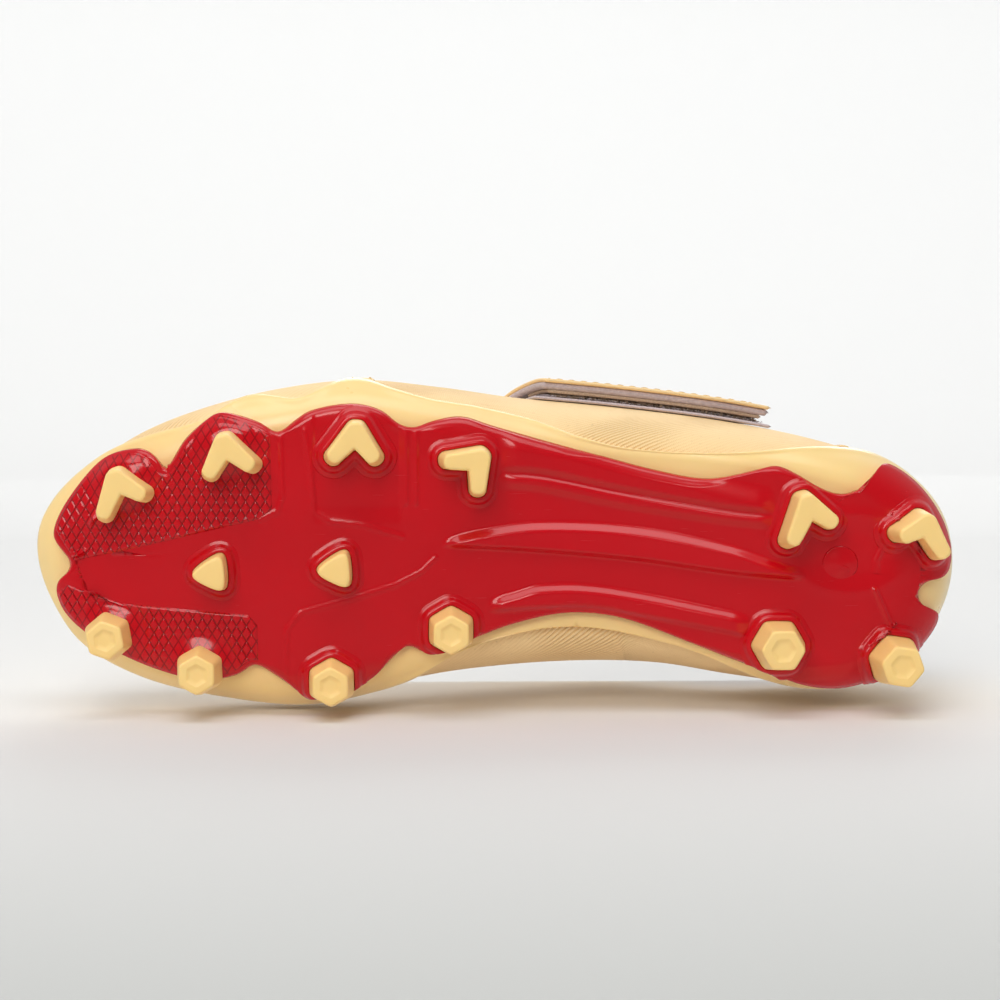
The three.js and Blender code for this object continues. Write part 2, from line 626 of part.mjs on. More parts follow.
/** Line across the strap at w, bowed so that it is straight in space where the side is curved. */
const foldBow = 0.136;
const foldLine = (shift) => (share) => strapFold + shift + foldBow * share * (1 - share);
const evenLine = (w) => () => w;
const skinLift = (w) => strapLift(w) + strapLining + gap;
const baseEnds = [evenLine(strapHinge + hingeGap), foldLine(-hingeGap)];
const tabEnds = [foldLine(hingeGap), evenLine(strapEnd)];
const strapSkin = strapSheet(baseEnds, 12, skinLift, skinThickness);
const strapInside = strapSheet(baseEnds, 12, strapLift, strapLining);
const tabSkin = strapSheet(tabEnds, 4, skinLift, skinThickness);
const tabInside = strapSheet(tabEnds, 4, strapLift, strapLining);
const hookInset = 5;
const hookEnds = [foldLine(0.03), evenLine(strapEnd - 0.012)];
const hookTape = strapSheet(hookEnds, 4, () => gap * 2 + loopThickness, hookThickness, hookInset);
const loopEnds = [foldLine(-0.05), evenLine(strapEnd + 0.004)];
const loopTape = strapSheet(loopEnds, 5, () => gap, loopThickness, -1);
const anchorEnds = [evenLine(-0.735), evenLine(strapHinge - hingeGap)];
const anchorThickness = skinLift(0) + skinThickness - gap;
const strapAnchor = strapSheet(anchorEnds, 5, () => gap, anchorThickness);

// ---------------------------------------------------------------- materials
const finish = (color, roughness) =>
  new THREE.MeshStandardMaterial({ color, roughness, metalness: 0 });
const plateRed = finish(0xbe0a1e, 0.3);
const studCream = finish(0xffd78c, 0.5);
const trayCream = finish(0xffe1a0, 0.3);
const textile = finish(0xfadea5, 0.8);
const liningGrey = finish(0xbeafb4, 0.95);
const hookBrown = finish(0xb49c82, 0.95);
const boardFibre = finish(0xd8cfbe, 0.9);
const foamGrey = finish(0xcfcac4, 0.95);
const stiffener = finish(0xe6e2d8, 0.6);

// ---------------------------------------------------------------- the boot
const pieces = [
  ["outsole_plate", plate, plateRed],
  ["rand_tray", tray, trayCream],
  ...studSolids.map(([name, solid]) => [name, solid, studCream]),
  ["lasting_board", lastingBoard, boardFibre],
  ["sockliner", sockliner, foamGrey],
  ["heel_counter", heelCounter, stiffener],
  ["toe_puff", toePuff, stiffener],
  ["vamp", vamp, textile],
  ["vamp_lining", vampLining, liningGrey],
  ["quarter_outer", quarter(1), textile],
  ["quarter_inner", quarter(-1), textile],
  ["quarter_lining_outer", quarterLining(1), liningGrey],
  ["quarter_lining_inner", quarterLining(-1), liningGrey],
  ["heel_panel", heelPanel, textile],
  ["heel_stay", heelStay, trayCream],
  ["collar_padding", collarPadding, foamGrey],
  ["collar_lining", collarLining, liningGrey],
  ["tongue", tongue, textile],
  ["tongue_lining", tongueInside, liningGrey],
  ["strap_anchor", strapAnchor, textile],
  ["strap_skin", strapSkin, textile],
  ["strap_lining", strapInside, liningGrey],
  ["tab_skin", tabSkin, textile],
  ["tab_lining", tabInside, liningGrey],
  ["hook_tape", hookTape, hookBrown],
  ["loop_tape", loopTape, liningGrey],
];

const boot = new THREE.Group();
for (const [name, solid, material] of pieces) {
  const mesh = new THREE.Mesh(toGeometry(solid), material);
  mesh.name = name;
  boot.add(mesh);
}

// The origin is under the middle of the boot, on the ground.
const box = new THREE.Box3().setFromObject(boot);
const middle = box.getCenter(new THREE.Vector3());
boot.position.set(-middle.x, -middle.y, -box.min.z);

export default boot;
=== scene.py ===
# %% [markdown]
# # A child's football boot, seen from under its sole
# The boot is a left one for firm ground: a glossy red plate with pale studs, a pale tray that cups the
# upper, a ribbed textile upper, and one wide strap that closes over the instep. The working model is
# loaded as a fixed frame. Every layer of a real boot is pulled over one wooden or plastic form, the last,
# so this lesson first rebuilds that form as a formula. Each visible piece is then the same formula at
# another distance from the last, which keeps all the layers parallel without any fitting by eye.

# %% Load the frame
import math

import bmesh
import bpy
import numpy as np
from mathutils import Matrix, Vector


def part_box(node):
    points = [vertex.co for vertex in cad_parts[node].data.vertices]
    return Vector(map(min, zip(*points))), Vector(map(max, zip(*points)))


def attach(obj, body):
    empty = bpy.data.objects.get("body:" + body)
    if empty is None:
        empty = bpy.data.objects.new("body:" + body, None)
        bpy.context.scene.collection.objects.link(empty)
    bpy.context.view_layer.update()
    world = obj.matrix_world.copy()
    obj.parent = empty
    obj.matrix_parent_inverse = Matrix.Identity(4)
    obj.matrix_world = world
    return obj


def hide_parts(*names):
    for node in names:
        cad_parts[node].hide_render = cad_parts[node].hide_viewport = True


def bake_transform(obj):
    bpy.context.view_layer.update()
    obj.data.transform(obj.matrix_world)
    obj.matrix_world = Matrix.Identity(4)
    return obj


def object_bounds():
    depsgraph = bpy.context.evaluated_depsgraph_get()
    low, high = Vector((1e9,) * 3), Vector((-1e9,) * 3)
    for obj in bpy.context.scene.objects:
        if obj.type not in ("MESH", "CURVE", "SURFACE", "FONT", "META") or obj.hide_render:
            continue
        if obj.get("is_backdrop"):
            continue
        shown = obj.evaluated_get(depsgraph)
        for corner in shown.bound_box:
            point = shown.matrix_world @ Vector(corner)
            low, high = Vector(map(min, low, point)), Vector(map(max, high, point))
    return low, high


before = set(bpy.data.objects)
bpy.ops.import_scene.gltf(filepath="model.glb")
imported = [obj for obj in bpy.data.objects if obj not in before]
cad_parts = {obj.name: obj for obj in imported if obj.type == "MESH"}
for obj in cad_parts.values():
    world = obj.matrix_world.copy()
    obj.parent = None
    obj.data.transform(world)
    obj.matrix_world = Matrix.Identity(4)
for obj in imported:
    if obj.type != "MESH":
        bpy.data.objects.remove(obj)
cad_low, cad_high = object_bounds()
scene = bpy.context.scene
MM = 0.001
tau = 2 * math.pi
print("boot", [round(1000 * side, 1) for side in cad_high - cad_low], "mm")

# %% [markdown]
# ## The last
# A last has no flat faces and few numbers: one outline seen from above, a centre line, and some curves
# along the foot for the height of the sole, the height of the instep and the roundness of the edge. A
# surface could be sculpted by hand, but a formula of two parameters lets every later layer ask for a
# point, a normal and a distance at any place. The parameters are `turn`, which goes once round the foot
# from the heel by the outer side to the toe and back, and `level`, which climbs from the middle of the
# sole at -1, over the lower edge at 0 and the widest line at 0.25, to the ridge of the instep at 1.

# %% Curves through a few drawn points
def curve(pairs, period=0.0):
    """Smooth curve through (position, value) pairs: a cubic between each two, whose slope at a knot is
    the slope between that knot's two neighbours. With a period the curve closes on itself."""
    p, v = np.array(pairs, float).T
    if period:
        p = np.concatenate([p[-2:] - period, p, p[:3] + period])
        v = np.concatenate([v[-2:], v, v[:3]])
    rise, run = np.gradient(v), np.gradient(p)
    slope = rise / run

    def at(position):
        x = np.asarray(position, float)
        if period:
            x = (x - pairs[0][0]) % period + pairs[0][0]
        i = np.clip(np.searchsorted(p, x, "right") - 1, 0, len(p) - 2)
        span = p[i + 1] - p[i]
        s = np.clip((x - p[i]) / span, 0, 1)
        ends = v[i] * (2 * s**3 - 3 * s**2 + 1) + v[i + 1] * (3 * s**2 - 2 * s**3)
        return ends + span * (slope[i] * (s**3 - 2 * s**2 + s) + slope[i + 1] * (s**3 - s**2))

    return at


def step(start, end, x):
    """0 below start, 1 above end, and a smooth S between them."""
    s = np.clip((np.asarray(x, float) - start) / (end - start), 0, 1)
    return s * s * (3 - 2 * s)


def mix(a, b, share):
    """Value at a share of the way from a to b."""
    return a + (b - a) * share


# %% Sizes and curves of the last, in millimetres
LENGTH, WIDTH = 240.0, 86.5
GAP, TRAY, PLATE = 0.4, 1.6, 2.6
REACH = GAP + TRAY
LENGTH_SCALE, WIDTH_SCALE = (LENGTH - 2 * REACH) / LENGTH, (WIDTH - 2 * REACH) / WIDTH
INSTEP, COLLAR, HEEL_STUD, BALL_STUD = 92.0, 79.0, 12.0, 10.0

outer_side = [
    (0, -8.5), (2.5, 3.5), (10, 13), (20, 19.8), (36, 25.2), (60, 30), (90, 33.8), (115, 36.4),
    (136, 39.6), (157, 41.7), (178, 39.4), (199, 33.8), (215, 27), (228, 17.5), (236.5, 8)]
inner_side = [
    (240, -3), (237, -16), (229.6, -27.9), (214, -36.8), (193, -42.2), (172, -44.8), (152, -41.8),
    (131, -38.6), (105, -37), (78, -37.4), (57, -40.4), (37, -42.5), (21.4, -39.6), (8, -29.5),
    (1.5, -18)]


def turn_at(x, side=1):
    """Turn at which the outline is x millimetres from the heel, on the outer side (1) or inner (-1)."""
    turn = np.arccos(1 - 2 * np.asarray(x, float) / LENGTH)
    return np.where(np.asarray(side) > 0, turn, tau - turn)


def outline_x(turn):
    """Distance from the heel at a turn: half a cosine wave over the length."""
    return LENGTH / 2 * (1 - np.cos(turn))


outline_y = curve([(float(turn_at(x)), y) for x, y in outer_side]
                  + [(float(turn_at(x, -1)), y) for x, y in inner_side], tau)
spine_y = curve([(0.1, -8.8), (0.25, -5), (0.4, -1.4), (0.66, -1.6), (0.85, -4), (1, -5)])
sole_rise = curve([(0, 4), (0.12, 0.6), (0.22, 0.4), (0.38, 3.6), (0.54, 2), (0.66, 0), (0.78, 0.3),
                   (0.9, 3.4), (1, 9)])
edge_inset = curve([(0, 11), (0.28, 12), (0.42, 13), (0.54, 12), (0.66, 11), (1, 11)])
edge_height = curve([(0, 23), (0.15, 22), (0.4, 27), (0.66, 17), (0.85, 13), (1, 10)])
dome_power = curve([(0, 2.6), (0.3, 2.5), (0.5, 2.3), (0.8, 2.15), (1, 2.1)])
ridge_rise = curve([(0.14, 20), (0.25, 17), (0.33, 11), (0.41, 0), (0.5, -12), (0.58, -22),
                    (0.67, -32), (0.78, -39), (0.88, -42.5), (1, -45)])


def plate_z(u):
    """Height of the plate's underside on its middle, at a share u of the length."""
    return HEEL_STUD + (BALL_STUD - HEEL_STUD) * step(0.2, 0.6, u) + sole_rise(u)


# %% The last as a surface of two parameters
SPINE_START, SPINE_SHARE, WAIST = 35.0, 0.7375, 0.25
SOLE_LAYERS = 2 * GAP + TRAY + PLATE


def last(turn, level):
    """Point of the last. The outline shrinks towards a shorter centre line: straight inwards under the
    sole, as a quarter ellipse round the lower edge, and as a superellipse dome above the widest line."""
    turn, level = np.broadcast_arrays(np.asarray(turn, float), np.asarray(level, float))
    x, y = outline_x(turn), outline_y(turn)
    spine_x = SPINE_START + SPINE_SHARE * x
    to_x, to_y = spine_x - x, spine_y(spine_x / LENGTH) - y
    edge = edge_inset(x / LENGTH) / np.hypot(to_x, to_y)
    rise = edge_height(x / LENGTH)
    low = np.clip(level / WAIST, 0, 1) * math.pi / 2
    high = np.clip((level - WAIST) / (1 - WAIST), 0, 1) * math.pi / 2
    power = 2 / dome_power(x / LENGTH)
    share = np.where(level <= 0, edge + (1 - edge) * -level, edge * (1 - np.sin(low)))
    share = np.where(level > WAIST, 1 - np.maximum(np.cos(high), 0) ** power, share)
    plan_x, plan_y = x + to_x * share, y + to_y * share
    edge_z = plate_z((x + to_x * edge) / LENGTH) + SOLE_LAYERS
    dome = INSTEP + ridge_rise(plan_x / LENGTH) - edge_z - rise
    z = np.where(level <= 0, plate_z(plan_x / LENGTH) + SOLE_LAYERS, edge_z + rise * (1 - np.cos(low)))
    z = np.where(level > WAIST, edge_z + rise + dome * np.sin(high) ** power, z)
    return np.stack([REACH + plan_x * LENGTH_SCALE, plan_y * WIDTH_SCALE, z], -1)


def unit(v):
    """Directions of length 1 from vectors of any length."""
    return v / np.maximum(np.linalg.norm(v, axis=-1, keepdims=True), 1e-12)


def last_normal(turn, level):
    """Outward normal: across the differences along the two parameters. On the centre lines, where both
    sides meet, it is the average of the two sides."""
    turn, level = np.broadcast_arrays(np.asarray(turn, float), np.asarray(level, float))
    inside = np.clip(level, -0.995, 0.995)

    def one_side(t):
        up = last(t, inside + 0.002) - last(t, inside - 0.002)
        along = last(t + 0.002, inside) - last(t - 0.002, inside)
        return unit(-np.cross(along, up))

    own = one_side(turn)
    if (np.abs(level) <= 0.995).all():
        return own
    both = unit(own + one_side(tau - turn))
    return np.where((np.abs(level) > 0.995)[..., None], both, own)


def skin(turn, level, offset=0.0):
    """Point at a distance from the last along its normal, outwards above 0."""
    return last(turn, level) + last_normal(turn, level) * np.asarray(offset, float)[..., None]


# The drawing starts at the heel; the frame's origin is under the middle of the boot.
loop = np.linspace(0, tau, 721)
drawn = skin(loop[None], np.linspace(0, WAIST, 9)[:, None], REACH).reshape(-1, 3)
tray_low, tray_high = (np.array(corner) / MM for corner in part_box("rand_tray"))
middle = (drawn.min(0) + drawn.max(0)) / 2 - (tray_low + tray_high) / 2
SHIFT = np.array([middle[0], middle[1], 0.0])
print("frame is shifted by", SHIFT.round(3), "mm from the drawing")

# %% [markdown]
# ## From grids of points to closed pieces
# A shoemaker's panel is a sheet with a soft edge, not two faces joined by a sharp wall. It could be made
# with a Solidify and a Bevel modifier, but at a seam each edge needs its own place. Here a sheet is two
# grids, one on each face, which close towards each other in a quarter circle near the border and share
# their border points. That gives a closed body with a rounded edge from one formula.

# %% Mesh helpers
def make_mesh(name, points, quads, uv=None, smooth=True):
    """Object from points in drawing millimetres and four-cornered faces, outward-facing: if the signed
    volume under the faces is negative, every face is turned round. Equal corners make a triangle."""
    points = (np.asarray(points, float).reshape(-1, 3) - SHIFT) * MM
    quads = np.asarray(quads).reshape(-1, 4)
    a, b, c, d = (points[quads[:, k]] for k in range(4))
    volume = sum(np.einsum("ij,ij->i", a, across).sum() for across in (np.cross(b, c), np.cross(c, d)))
    if volume < 0:
        quads = quads[:, ::-1]
    mesh = bpy.data.meshes.new(name)
    mesh.vertices.add(len(points))
    mesh.vertices.foreach_set("co", points.astype(np.float32).ravel())
    mesh.loops.add(quads.size)
    mesh.loops.foreach_set("vertex_index", quads.astype(np.int32).ravel())
    mesh.polygons.add(len(quads))
    mesh.polygons.foreach_set("loop_start", np.arange(0, quads.size, 4, dtype=np.int32))
    mesh.polygons.foreach_set("use_smooth", np.full(len(quads), smooth))
    if uv is not None:
        layer = mesh.uv_layers.new(name="fabric")
        layer.data.foreach_set("uv", np.asarray(uv, np.float32).reshape(-1, 2)[quads.ravel()].ravel())
    mesh.update(calc_edges=True)
    bm = bmesh.new()
    bm.from_mesh(mesh)
    bmesh.ops.remove_doubles(bm, verts=bm.verts, dist=2e-7)
    bmesh.ops.dissolve_degenerate(bm, edges=bm.edges, dist=1e-8)
    bm.to_mesh(mesh)
    bm.free()
    obj = bpy.data.objects.new(name, mesh)
    scene.collection.objects.link(obj)
    return obj


def grid_faces(rows, columns, start=0, closed=False):
    """Corner indices of the faces of a grid of points; closed joins its last column to its first."""
    i, j = np.meshgrid(np.arange(rows - 1), np.arange(columns if closed else columns - 1), indexing="ij")
    k = (j + 1) % columns
    corners = [i * columns + j, i * columns + k, (i + 1) * columns + k, (i + 1) * columns + j]
    return np.stack(corners, -1).reshape(-1, 4) + start


def spread(count, near=0.0):
    """Shares from 0 to 1. With near above 0 they crowd towards both ends, where an edge is rounded."""
    s = np.linspace(0, 1, count)
    return mix(s, (1 - np.cos(math.pi * s)) / 2, near)


def round_edge(distance, radius):
    """Share of the full thickness at a distance from a border: a quarter circle of that radius."""
    inside = np.clip(distance / radius, 0, 1)
    return np.sqrt(np.maximum(1 - (1 - inside) ** 2, 0))


def away_from_border(points, open_edges=""):
    """Distance of each grid point from the grid's border, measured along its rows and columns, and its
    place in millimetres along both. An edge named in open_edges (b bottom, t top, l left, r right)
    doesn't count as border, so a sheet keeps its full thickness there."""
    def along(axis):
        lengths = np.linalg.norm(np.diff(points, axis=axis), axis=-1)
        zero = np.zeros_like(np.take(lengths, [0], axis=axis))
        forward = np.concatenate([zero, np.cumsum(lengths, axis=axis)], axis=axis)
        return forward, np.take(forward, [-1], axis=axis) - forward

    (bottom, top), (left, right) = along(0), along(1)
    far = np.full(points.shape[:2], 1e6)
    for letter, distance in zip("btlr", (bottom, top, left, right)):
        if letter not in open_edges:
            far = np.minimum(far, distance)
    return far, np.stack([left, bottom], -1)


def sheet(name, turn, level, outer, inner, radius=None, open_edges="", closed=False, folded=""):
    """Closed sheet on the last between two distances from it. Both faces move towards the middle of the
    thickness in a quarter circle near the border. A folded row (b or t) lies on a centre line, where the
    sheet's two halves meet. Its uv map is in metres along the rows and columns."""
    turn, level = np.broadcast_arrays(turn, level)
    outer, inner = (np.broadcast_to(np.asarray(side, float), turn.shape) for side in (outer, inner))
    base, normal = last(turn, level), last_normal(turn, level)
    half, centre = (outer - inner) / 2, (outer + inner) / 2
    edge, metres = away_from_border(base + normal * centre[..., None], open_edges + folded + "lr" * closed)
    full = round_edge(edge, np.mean(half) if radius is None else radius)
    top = base + normal * (centre + half * full)[..., None]
    under = base + normal * (centre - half * full)[..., None]
    rows, columns = turn.shape
    count = rows * columns
    faces = [grid_faces(rows, columns, 0, closed), grid_faces(rows, columns, count, closed)[:, ::-1]]
    wall = grid_faces(2, columns, 0, closed)
    for row in [row for row, letter in ((0, "b"), (rows - 1, "t")) if letter not in folded]:
        flip = slice(None, None, 1 if row else -1)
        lower, upper = wall[:, :2] + row * columns, wall[:, :2] + row * columns + count
        faces.append(np.stack([lower[:, 0], upper[:, 0], upper[:, 1], lower[:, 1]], -1)[:, flip])
    for column in (0, columns - 1):
        if not closed:
            flip = slice(None, None, -1 if column else 1)
            here = np.arange(rows - 1) * columns + column
            there = here + columns
            faces.append(np.stack([here, here + count, there + count, there], -1)[:, flip])
    return make_mesh(name, np.stack([top, under]), np.concatenate(faces), np.stack([metres, metres]) * MM)


def finish_piece(obj, material, body, slot, *nodes):
    """Gives a piece its material, the body that it moves with, and the nodes that it stands for."""
    obj.data.materials.clear()
    obj.data.materials.append(material)
    if isinstance(body, str):
        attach(obj, body)
    if nodes:
        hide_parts(*nodes)
    size = [round(1000 * side, 1) for side in obj.dimensions]
    print(f"{obj.name}: {len(obj.data.polygons)} faces, {size} mm")
    return obj

# %% [markdown]
# ## Shared finishes
# A moulded plastic is never one even colour: pigment drifts a little, the mould leaves a fine grain, and
# use leaves hairline scratches. A knitted textile shows diagonal ribs with a thread pattern across them,
# which stand out in some places and are pressed flat in others. Both effects serve several materials, so
# each is one node group that puts out only masks and heights, and every material mixes them in its own
# measure. Images could hold such patterns, but a formula keeps its sharpness at any distance.

# %% Node helpers
def add(tree, kind, at=(0, 0), **settings):
    """New node of a kind, with its properties and, for keys that name inputs, their values."""
    node = tree.nodes.new("ShaderNode" + kind)
    node.location = at
    for key, value in settings.items():
        if hasattr(node, key):
            setattr(node, key, value)
        else:
            node.inputs[key.replace("_", " ")].default_value = value
    return node


def math_node(tree, operation, a, b=None, at=(0, 0), clamp=False):
    """Math node whose inputs are sockets or plain numbers; returns its output."""
    node = add(tree, "Math", at, operation=operation, use_clamp=clamp)
    for socket, value in zip(node.inputs, (a, b)):
        if hasattr(value, "links"):
            tree.links.new(value, socket)
        elif value is not None:
            socket.default_value = value
    return node.outputs[0]


def new_group(name, inputs, outputs):
    """Empty node group with named sockets: inputs as (name, kind, default), outputs as (name, kind)."""
    group = bpy.data.node_groups.new(name, "ShaderNodeTree")
    for label, kind, default in inputs:
        socket = group.interface.new_socket(label, in_out="INPUT", socket_type="NodeSocket" + kind)
        if default is not None:
            socket.default_value = default
    for label, kind in outputs:
        group.interface.new_socket(label, in_out="OUTPUT", socket_type="NodeSocket" + kind)
    return group, group.nodes.new("NodeGroupInput"), group.nodes.new("NodeGroupOutput")


# %% Moulded plastic: drift, grain and scratches
moulded, given, out = new_group(
    "moulded_surface",
    [("Vector", "Vector", None), ("Drift Scale", "Float", 40.0), ("Grain Scale", "Float", 2500.0)],
    [("Drift", "Float"), ("Grain", "Float"), ("Scratches", "Float")])
drift = add(moulded, "TexNoise", (0, 200), Detail=3.0, Roughness=0.55)
grain = add(moulded, "TexNoise", (0, 0), Detail=2.0, Roughness=0.5)
turned = add(moulded, "Mapping", (-300, -250), Rotation=(0.0, 0.0, 0.6), Scale=(90.0, 1500.0, 700.0))
hairs = add(moulded, "TexNoise", (0, -250), Scale=1.0, Detail=2.0, Roughness=0.6)
for node, scale in ((drift, "Drift Scale"), (grain, "Grain Scale")):
    moulded.links.new(given.outputs["Vector"], node.inputs["Vector"])
    moulded.links.new(given.outputs[scale], node.inputs["Scale"])
moulded.links.new(given.outputs["Vector"], turned.inputs["Vector"])
moulded.links.new(turned.outputs[0], hairs.inputs["Vector"])
scratch = add(moulded, "MapRange", (200, -250), From_Min=0.66, From_Max=0.74)
moulded.links.new(hairs.outputs[0], scratch.inputs[0])
moulded.links.new(drift.outputs[0], out.inputs["Drift"])
moulded.links.new(grain.outputs[0], out.inputs["Grain"])
moulded.links.new(scratch.outputs[0], out.inputs["Scratches"])

# %% Ribbed knit: diagonal ribs, threads across them, and patches where they are pressed flat
knit, given, out = new_group(
    "ribbed_knit",
    [("Vector", "Vector", None), ("Rib Direction", "Vector", (620.0, 620.0, 0.0)),
     ("Thread Direction", "Vector", (1900.0, -1900.0, 0.0)), ("Patch Scale", "Float", 28.0)],
    [("Ribs", "Float"), ("Threads", "Float"), ("Patches", "Float"), ("Flecks", "Float")])


def waves(tree, vector, direction, power, at):
    """Rounded ridges: half of 1 plus the sine of the way along a direction, to a power."""
    dot = add(tree, "VectorMath", at, operation="DOT_PRODUCT")
    tree.links.new(vector, dot.inputs[0])
    tree.links.new(direction, dot.inputs[1])
    turns = math_node(tree, "MULTIPLY", dot.outputs["Value"], tau, (at[0] + 160, at[1]))
    sine = math_node(tree, "SINE", turns, None, (at[0] + 320, at[1]))
    half = math_node(tree, "MULTIPLY_ADD", sine, 0.5, (at[0] + 480, at[1]))
    half.node.inputs[2].default_value = 0.5
    return math_node(tree, "POWER", half, power, (at[0] + 640, at[1]))


sway = add(knit, "TexNoise", (-600, 0), Scale=160.0, Detail=1.0)
knit.links.new(given.outputs["Vector"], sway.inputs["Vector"])
centred = add(knit, "VectorMath", (-400, 0), operation="MULTIPLY_ADD")
knit.links.new(sway.outputs["Color"], centred.inputs[0])
centred.inputs[1].default_value = (0.0006, 0.0006, 0.0)
knit.links.new(given.outputs["Vector"], centred.inputs[2])
ribs = waves(knit, centred.outputs[0], given.outputs["Rib Direction"], 1.6, (-200, 300))
threads = waves(knit, centred.outputs[0], given.outputs["Thread Direction"], 1.2, (-200, 0))
patch = add(knit, "TexNoise", (-200, -300), Detail=1.5, Roughness=0.5)
knit.links.new(given.outputs["Vector"], patch.inputs["Vector"])
knit.links.new(given.outputs["Patch Scale"], patch.inputs["Scale"])
patches = add(knit, "MapRange", (0, -300), interpolation_type="SMOOTHSTEP", From_Min=0.42, From_Max=0.6)
knit.links.new(patch.outputs[0], patches.inputs[0])
speck = add(knit, "TexNoise", (-200, -600), Scale=900.0, Detail=2.0, Roughness=0.7)
knit.links.new(given.outputs["Vector"], speck.inputs["Vector"])
flecks = add(knit, "MapRange", (0, -600), From_Min=0.64, From_Max=0.74)
knit.links.new(speck.outputs[0], flecks.inputs[0])
knit.links.new(ribs, out.inputs["Ribs"])
knit.links.new(threads, out.inputs["Threads"])
knit.links.new(patches.outputs[0], out.inputs["Patches"])
knit.links.new(flecks.outputs[0], out.inputs["Flecks"])

# %% [markdown]
# ## Materials
# The plate, the studs and the tray are three different plastics. The plate is polished and deep red, so
# it needs low roughness and a clean highlight. The studs are satin, and let a little light in. The tray
# is glossy and milky. The textile takes its pattern from each piece's own map in metres, so that the ribs
# follow the cut panel as they do on a real upper. Each material could be one Principled shader with a
# plain colour, but the drift, grain and scratches keep large smooth areas from looking like a toy model.

# %% Material helpers
def new_material(name, **constants):
    """Material with a Principled shader whose constant values sit on its own sockets."""
    material = bpy.data.materials.new(name)
    material.use_nodes = True
    tree = material.node_tree
    shader = tree.nodes["Principled BSDF"]
    for key, value in constants.items():
        shader.inputs[key.replace("_", " ")].default_value = value
    return material, tree, shader


def place_group(tree, group, source, **values):
    """A shared group in a material, fed by object coordinates or by the piece's own map in metres."""
    node = add(tree, "Group", (-700, 0), node_tree=group)
    if source == "object":
        where = add(tree, "TexCoord", (-900, 0)).outputs["Object"]
    else:
        where = add(tree, "UVMap", (-900, 0), uv_map="fabric").outputs[0]
    tree.links.new(where, node.inputs["Vector"])
    for key, value in values.items():
        node.inputs[key.replace("_", " ")].default_value = value
    return node


def blend_colour(tree, share, low, high, at=(-300, 200)):
    """Colour between two, by a share; low may be a socket. Colours are linear red, green and blue."""
    node = add(tree, "Mix", at, data_type="RGBA")
    tree.links.new(share, node.inputs[0])
    for socket, colour in ((node.inputs[6], low), (node.inputs[7], high)):
        if hasattr(colour, "links"):
            tree.links.new(colour, socket)
        else:
            socket.default_value = (*colour, 1.0)
    return node.outputs[2]


def rough(tree, shader, value, low, high):
    """Roughness between two values, by a mask."""
    spread_out = add(tree, "MapRange", (-300, -50), To_Min=low, To_Max=high)
    tree.links.new(value, spread_out.inputs[0])
    tree.links.new(spread_out.outputs[0], shader.inputs["Roughness"])


def bump(tree, shader, height, distance, strength=1.0, onto=None):
    """Bump of a height mask, its full height in metres; onto chains it over another bump."""
    node = add(tree, "Bump", (-200, -300), Strength=strength, Distance=distance)
    tree.links.new(height, node.inputs["Height"])
    if onto is not None:
        tree.links.new(onto, node.inputs["Normal"])
    tree.links.new(node.outputs[0], shader.inputs["Normal"])
    return node.outputs[0]


# %% Plastics
def plastic(name, colour, drifted, roughness, grain_height, scale=2500.0, drift_scale=40.0, **constants):
    """Moulded plastic: colour drifts to a second one, scratches roughen it, and grain bumps it."""
    material, tree, shader = new_material(name, **constants)
    group = place_group(tree, moulded, "object", Drift_Scale=drift_scale, Grain_Scale=scale)
    base = blend_colour(tree, group.outputs["Drift"], colour, drifted)
    tree.links.new(base, shader.inputs["Base Color"])
    wear_and_valley_mask = math_node(tree, "MAXIMUM", group.outputs["Scratches"], group.outputs["Drift"], (-500, -50))
    rough(tree, shader, wear_and_valley_mask, *roughness)
    bump(tree, shader, group.outputs["Grain"], grain_height)
    return material


plate_red = plastic("plate_red", (0.60, 0.0008, 0.008), (0.51, 0.0006, 0.006), (0.14, 0.28), 3e-6,
                    Specular_IOR_Level=0.3, Coat_Weight=0.35, Coat_Roughness=0.07)
tray_cream = plastic("tray_cream", (1.0, 0.74, 0.33), (0.99, 0.69, 0.28), (0.2, 0.4), 4e-6,
                     Subsurface_Weight=0.12, Subsurface_Radius=(0.002, 0.0012, 0.0005),
                     Coat_Weight=0.15, Coat_Roughness=0.12)
stud_cream = plastic("stud_cream", (1.0, 0.71, 0.28), (1.0, 0.67, 0.24), (0.38, 0.55), 1.2e-5, 1800.0,
                     Subsurface_Weight=0.15, Subsurface_Radius=(0.003, 0.0018, 0.0006))
board_fibre = plastic("board_fibre", (0.66, 0.6, 0.5), (0.56, 0.5, 0.4), (0.8, 0.95), 4e-5, 900.0)
stiffener = plastic("stiffener", (0.78, 0.76, 0.69), (0.7, 0.68, 0.6), (0.5, 0.7), 2e-5, 1200.0)


# %% Ribbed textile of the upper
def ribbed(name, colour, valley_shade, fleck, rib_height, **constants):
    """Ribbed knit: valleys get painted shade, strongest in open patches; a few brown flecks."""
    material, tree, shader = new_material(name, Roughness=0.72, **constants)
    group = place_group(tree, knit, "map")
    open_ribs = math_node(tree, "MULTIPLY", group.outputs["Ribs"], group.outputs["Patches"], (-500, 200))
    wear_and_valley_mask = math_node(tree, "MULTIPLY_ADD", group.outputs["Ribs"], 0.25, (-500, 300))
    tree.links.new(open_ribs, wear_and_valley_mask.node.inputs[2])
    # Painted shade: the colour deepens in the rib valleys, where the bump is lowest, most in the open
    # patches.
    depth = math_node(tree, "MULTIPLY", wear_and_valley_mask, 0.62, (-400, 300), clamp=True)
    base = blend_colour(tree, depth, colour, valley_shade)
    few = math_node(tree, "MULTIPLY", group.outputs["Flecks"], 0.35, (-400, 100))
    tree.links.new(blend_colour(tree, few, base, fleck), shader.inputs["Base Color"])
    woven = math_node(tree, "MULTIPLY", group.outputs["Threads"], 0.35, (-500, -200))
    relief = math_node(tree, "SUBTRACT", woven, wear_and_valley_mask, (-400, -200))
    bump(tree, shader, relief, rib_height)
    return material


